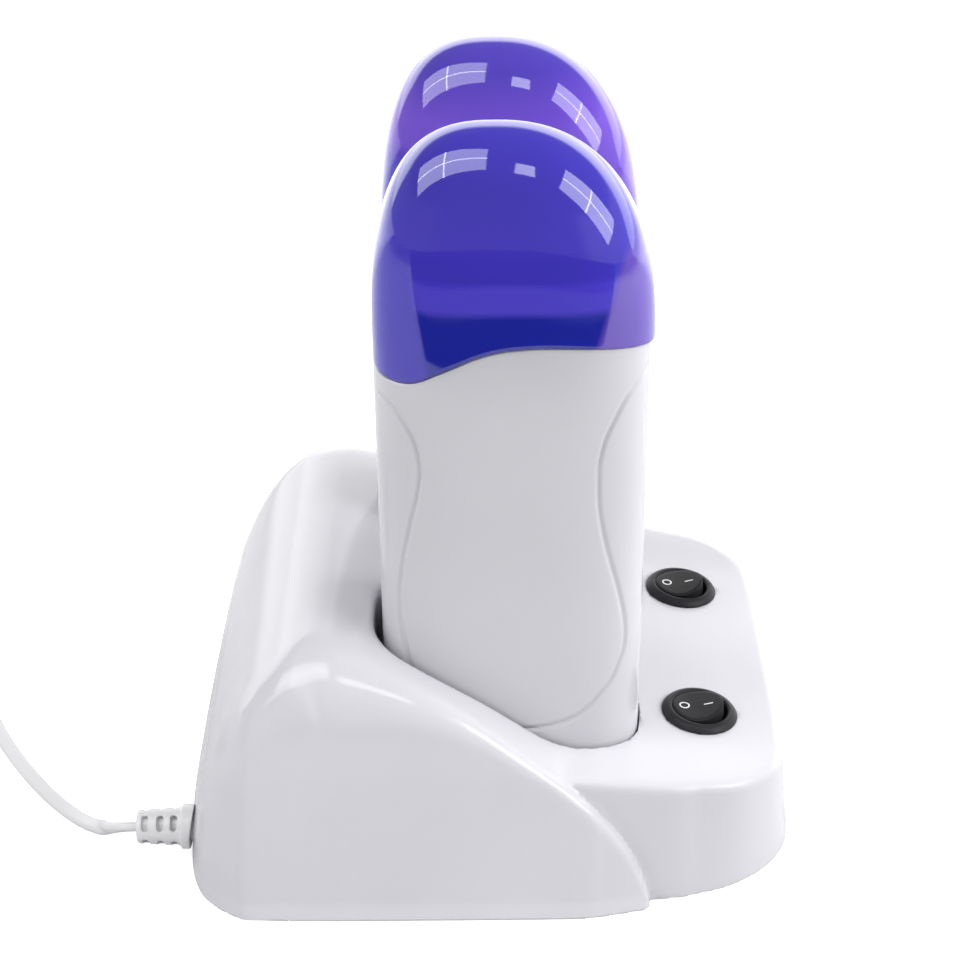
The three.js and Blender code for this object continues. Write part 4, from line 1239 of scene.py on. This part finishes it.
# Past that edge the floor is dark with a paler strip further out: painted shade of the unlit room and a paler painted
# band, seen in the caps' reflections and not by the camera.
strip = fmath("MULTIPLY", remap(nt, _sp.outputs["Y"], 1.0, 0.0, -0.52, -0.48), remap(nt, _sp.outputs["Y"], 0.0, 1.0, -0.80, -0.74))
_dk = nt.nodes.new("ShaderNodeMix")
_dk.data_type = "RGBA"
nt.links.new(strip, _dk.inputs["Factor"])
_dk.inputs["A"].default_value = (0.03, 0.03, 0.032, 1)
_dk.inputs["B"].default_value = (0.16, 0.16, 0.17, 1)
_mx = nt.nodes.new("ShaderNodeMix")
_mx.data_type = "RGBA"
nt.links.new(remap(nt, edge_y, 0.0, 1.0, -0.006, 0.006), _mx.inputs["Factor"])
nt.links.new(_dk.outputs["Result"], _mx.inputs["A"])
nt.links.new(far_tone, _mx.inputs["B"])
nt.links.new(_mx.outputs["Result"], b.inputs["Base Color"])
nt.links.new(remap(nt, noise(nt, 40.0, 2.0), 0.55, 0.65), b.inputs["Roughness"])
bump(nt, b, [(noise(nt, 300.0, 2.0), 0.1, 0.00001)])
b.inputs["Specular IOR Level"].default_value = 0.2
b.inputs["Emission Color"].default_value = (1, 1, 1, 1)
lp = nt.nodes.new("ShaderNodeLightPath")
lift = nt.nodes.new("ShaderNodeMath")
lift.operation = "MULTIPLY"
# the camera sees one even pale floor
nt.links.new(remap(nt, edge_y, 1.05, FLOOR_LIFT, -0.006, 0.006), lift.inputs[1])
nt.links.new(lp.outputs["Is Camera Ray"], lift.inputs[0])
back_glow = remap(nt, _sp.outputs["Y"], 0.0, 1.0, 0.35, 0.5)
nt.links.new(fmath("ADD", lift.outputs[0], back_glow), b.inputs["Emission Strength"])
fm = bpy.data.meshes.new("floor")
fm.from_pydata([(-14, -14, 0), (14, -14, 0), (14, 14, 0), (-14, 14, 0)], [], [(0, 1, 2, 3)])
fm.materials.append(FLOOR)
floor = bpy.data.objects.new("floor", fm)
bpy.context.scene.collection.objects.link(floor)

WORLD_DIM, WORLD_TOP, WORLD_BACK, WORLD_RIGHT, WORLD_LEFT, EXPOSURE = 0.26, 0.95, 2.2, 0.35, 0.1, 0.0
# studio boxes: name, direction from the object, long axis, distance, long side, short side, radiance
BOXES = [
    ("box_left", (-0.521, -0.272, 0.809), (0.851, -0.248, 0.464), 1.8, 1.95, 1.04, 3.35, 8.0),
    ("box_right", (0.762, -0.405, 0.505), (0.562, 0.117, -0.819), 1.8, 1.25, 0.92, 4.3, 9.5),
    ("box_mid", (0.165, -0.536, 0.828), (-0.12, -0.844, -0.522), 1.8, 0.38, 0.30, 4.8, 0),
]

world = bpy.data.worlds.new("world")
bpy.context.scene.world = world
world.use_nodes = True
wn = world.node_tree
bg = wn.nodes["Background"]
tc = wn.nodes.new("ShaderNodeTexCoord")
sp = wn.nodes.new("ShaderNodeSeparateXYZ")
wn.links.new(tc.outputs["Generated"], sp.inputs["Vector"])


def wmap(value, a, c, lo, hi):
    r = wn.nodes.new("ShaderNodeMapRange")
    r.interpolation_type = "SMOOTHSTEP"
    r.inputs["From Min"].default_value = a
    r.inputs["From Max"].default_value = c
    r.inputs["To Min"].default_value = lo
    r.inputs["To Max"].default_value = hi
    wn.links.new(value, r.inputs["Value"])
    return r.outputs["Result"]


# a white wall behind the object, up to about 37 degrees, and a dim room elsewhere
_w = wn.nodes.new("ShaderNodeMath")
_w.operation = "MULTIPLY_ADD"
wn.links.new(sp.outputs["X"], _w.inputs[0])
_w.inputs[1].default_value = 0.2
wn.links.new(sp.outputs["Y"], _w.inputs[2])
wall_w = wmap(_w.outputs[0], 0.28, 0.34, 0.0, 1.0)
_k = wn.nodes.new("ShaderNodeMath")
_k.operation = "MULTIPLY_ADD"
wn.links.new(sp.outputs["Y"], _k.inputs[0])
_k.inputs[1].default_value = 0.75
_n = wn.nodes.new("ShaderNodeMath")
_n.operation = "MULTIPLY"
wn.links.new(sp.outputs["Z"], _n.inputs[0])
_n.inputs[1].default_value = -1.0
wn.links.new(_n.outputs[0], _k.inputs[2])
wall_h = wmap(_k.outputs[0], -0.03, 0.03, 0.0, 1.0)
_p = wn.nodes.new("ShaderNodeMath")
_p.operation = "MULTIPLY"
wn.links.new(wall_w, _p.inputs[0])
wn.links.new(wall_h, _p.inputs[1])
wall = wmap(_p.outputs[0], 0.0, 1.0, WORLD_DIM, WORLD_TOP)
# brighter low down on the wall, and pale side walls near the horizon


def wadd(a, c, op="ADD"):
    n = wn.nodes.new("ShaderNodeMath")
    n.operation = op
    for i, v in enumerate((a, c)):
        if isinstance(v, (int, float)):
            n.inputs[i].default_value = v
        else:
            wn.links.new(v, n.inputs[i])
    return n.outputs[0]


low = wadd(wadd(sp.outputs["Y"], 0.61, "MULTIPLY"), sp.outputs["Z"], "SUBTRACT")
glow = wadd(wmap(low, -0.03, 0.03, 0.0, WORLD_BACK - WORLD_TOP), wall_w, "MULTIPLY")
near_h = wmap(sp.outputs["Z"], 0.32, 0.42, 1.0, 0.0)
right = wadd(wmap(sp.outputs["X"], 0.45, 0.65, 0.0, WORLD_RIGHT), near_h, "MULTIPLY")
left = wadd(wmap(sp.outputs["X"], -0.65, -0.45, WORLD_LEFT, 0.0), near_h, "MULTIPLY")
wn.links.new(wadd(wadd(wall, glow), wadd(right, left)), bg.inputs["Strength"])
bg.inputs["Color"].default_value = (1.0, 1.0, 1.0, 1)


def softbox(name, direction, long_axis, dist, w, h, radiance, cross):
    """A soft box with a brighter cross where its rods stretch the cloth."""
    n = Vector(direction).normalized()
    u = Vector(long_axis)
    u = (u - u.dot(n) * n).normalized()
    t = n.cross(u)
    centre = Vector((0.0075, -0.02, 0.16)) + n * dist
    sheets = [("cloth", w, h, radiance, 0.0)]
    if cross:
        sheets += [("rod_a", w, 0.035 * h, cross, 0.02), ("rod_b", 0.022 * w, h, cross, 0.03)]
    for part, cw, ch, power, near in sheets:
        ld = bpy.data.lights.new(name + "_" + part, "AREA")
        ld.shape = "RECTANGLE"
        ld.size, ld.size_y = cw, ch
        ld.energy = power * math.pi * cw * ch
        lo = bpy.data.objects.new(ld.name, ld)
        bpy.context.scene.collection.objects.link(lo)
        mm = Matrix((u, t, n)).transposed().to_4x4()
        mm.translation = centre - n * near
        lo.matrix_world = mm


# broad side fills, not mirrored in the gloss
for name, direction, radiance in (("fill_right", (0.80, 0.10, 0.60), 4.6), ("fill_left", (-0.72, -0.66, 0.2), 1.2)):
    fill = bpy.data.lights.new(name, "AREA")
    fill.shape = "RECTANGLE"
    fill.size, fill.size_y = 1.6, 1.2
    fill.energy = radiance * math.pi * 1.6 * 1.2
    fo = bpy.data.objects.new(name, fill)
    bpy.context.scene.collection.objects.link(fo)
    _n = Vector(direction).normalized()
    _u = Vector((-_n.y, _n.x, 0.0)).normalized()
    _m = Matrix((_u, _n.cross(_u), _n)).transposed().to_4x4()
    _m.translation = Vector((0.0075, -0.02, 0.16)) + _n * 1.8
    fo.matrix_world = _m
    fo.visible_glossy = False

for args in BOXES:
    softbox(*args)

sc = bpy.context.scene
sc.view_settings.view_transform = "Standard"
sc.view_settings.look = "None"
sc.view_settings.exposure = EXPOSURE
sc.view_settings.gamma = 1.0
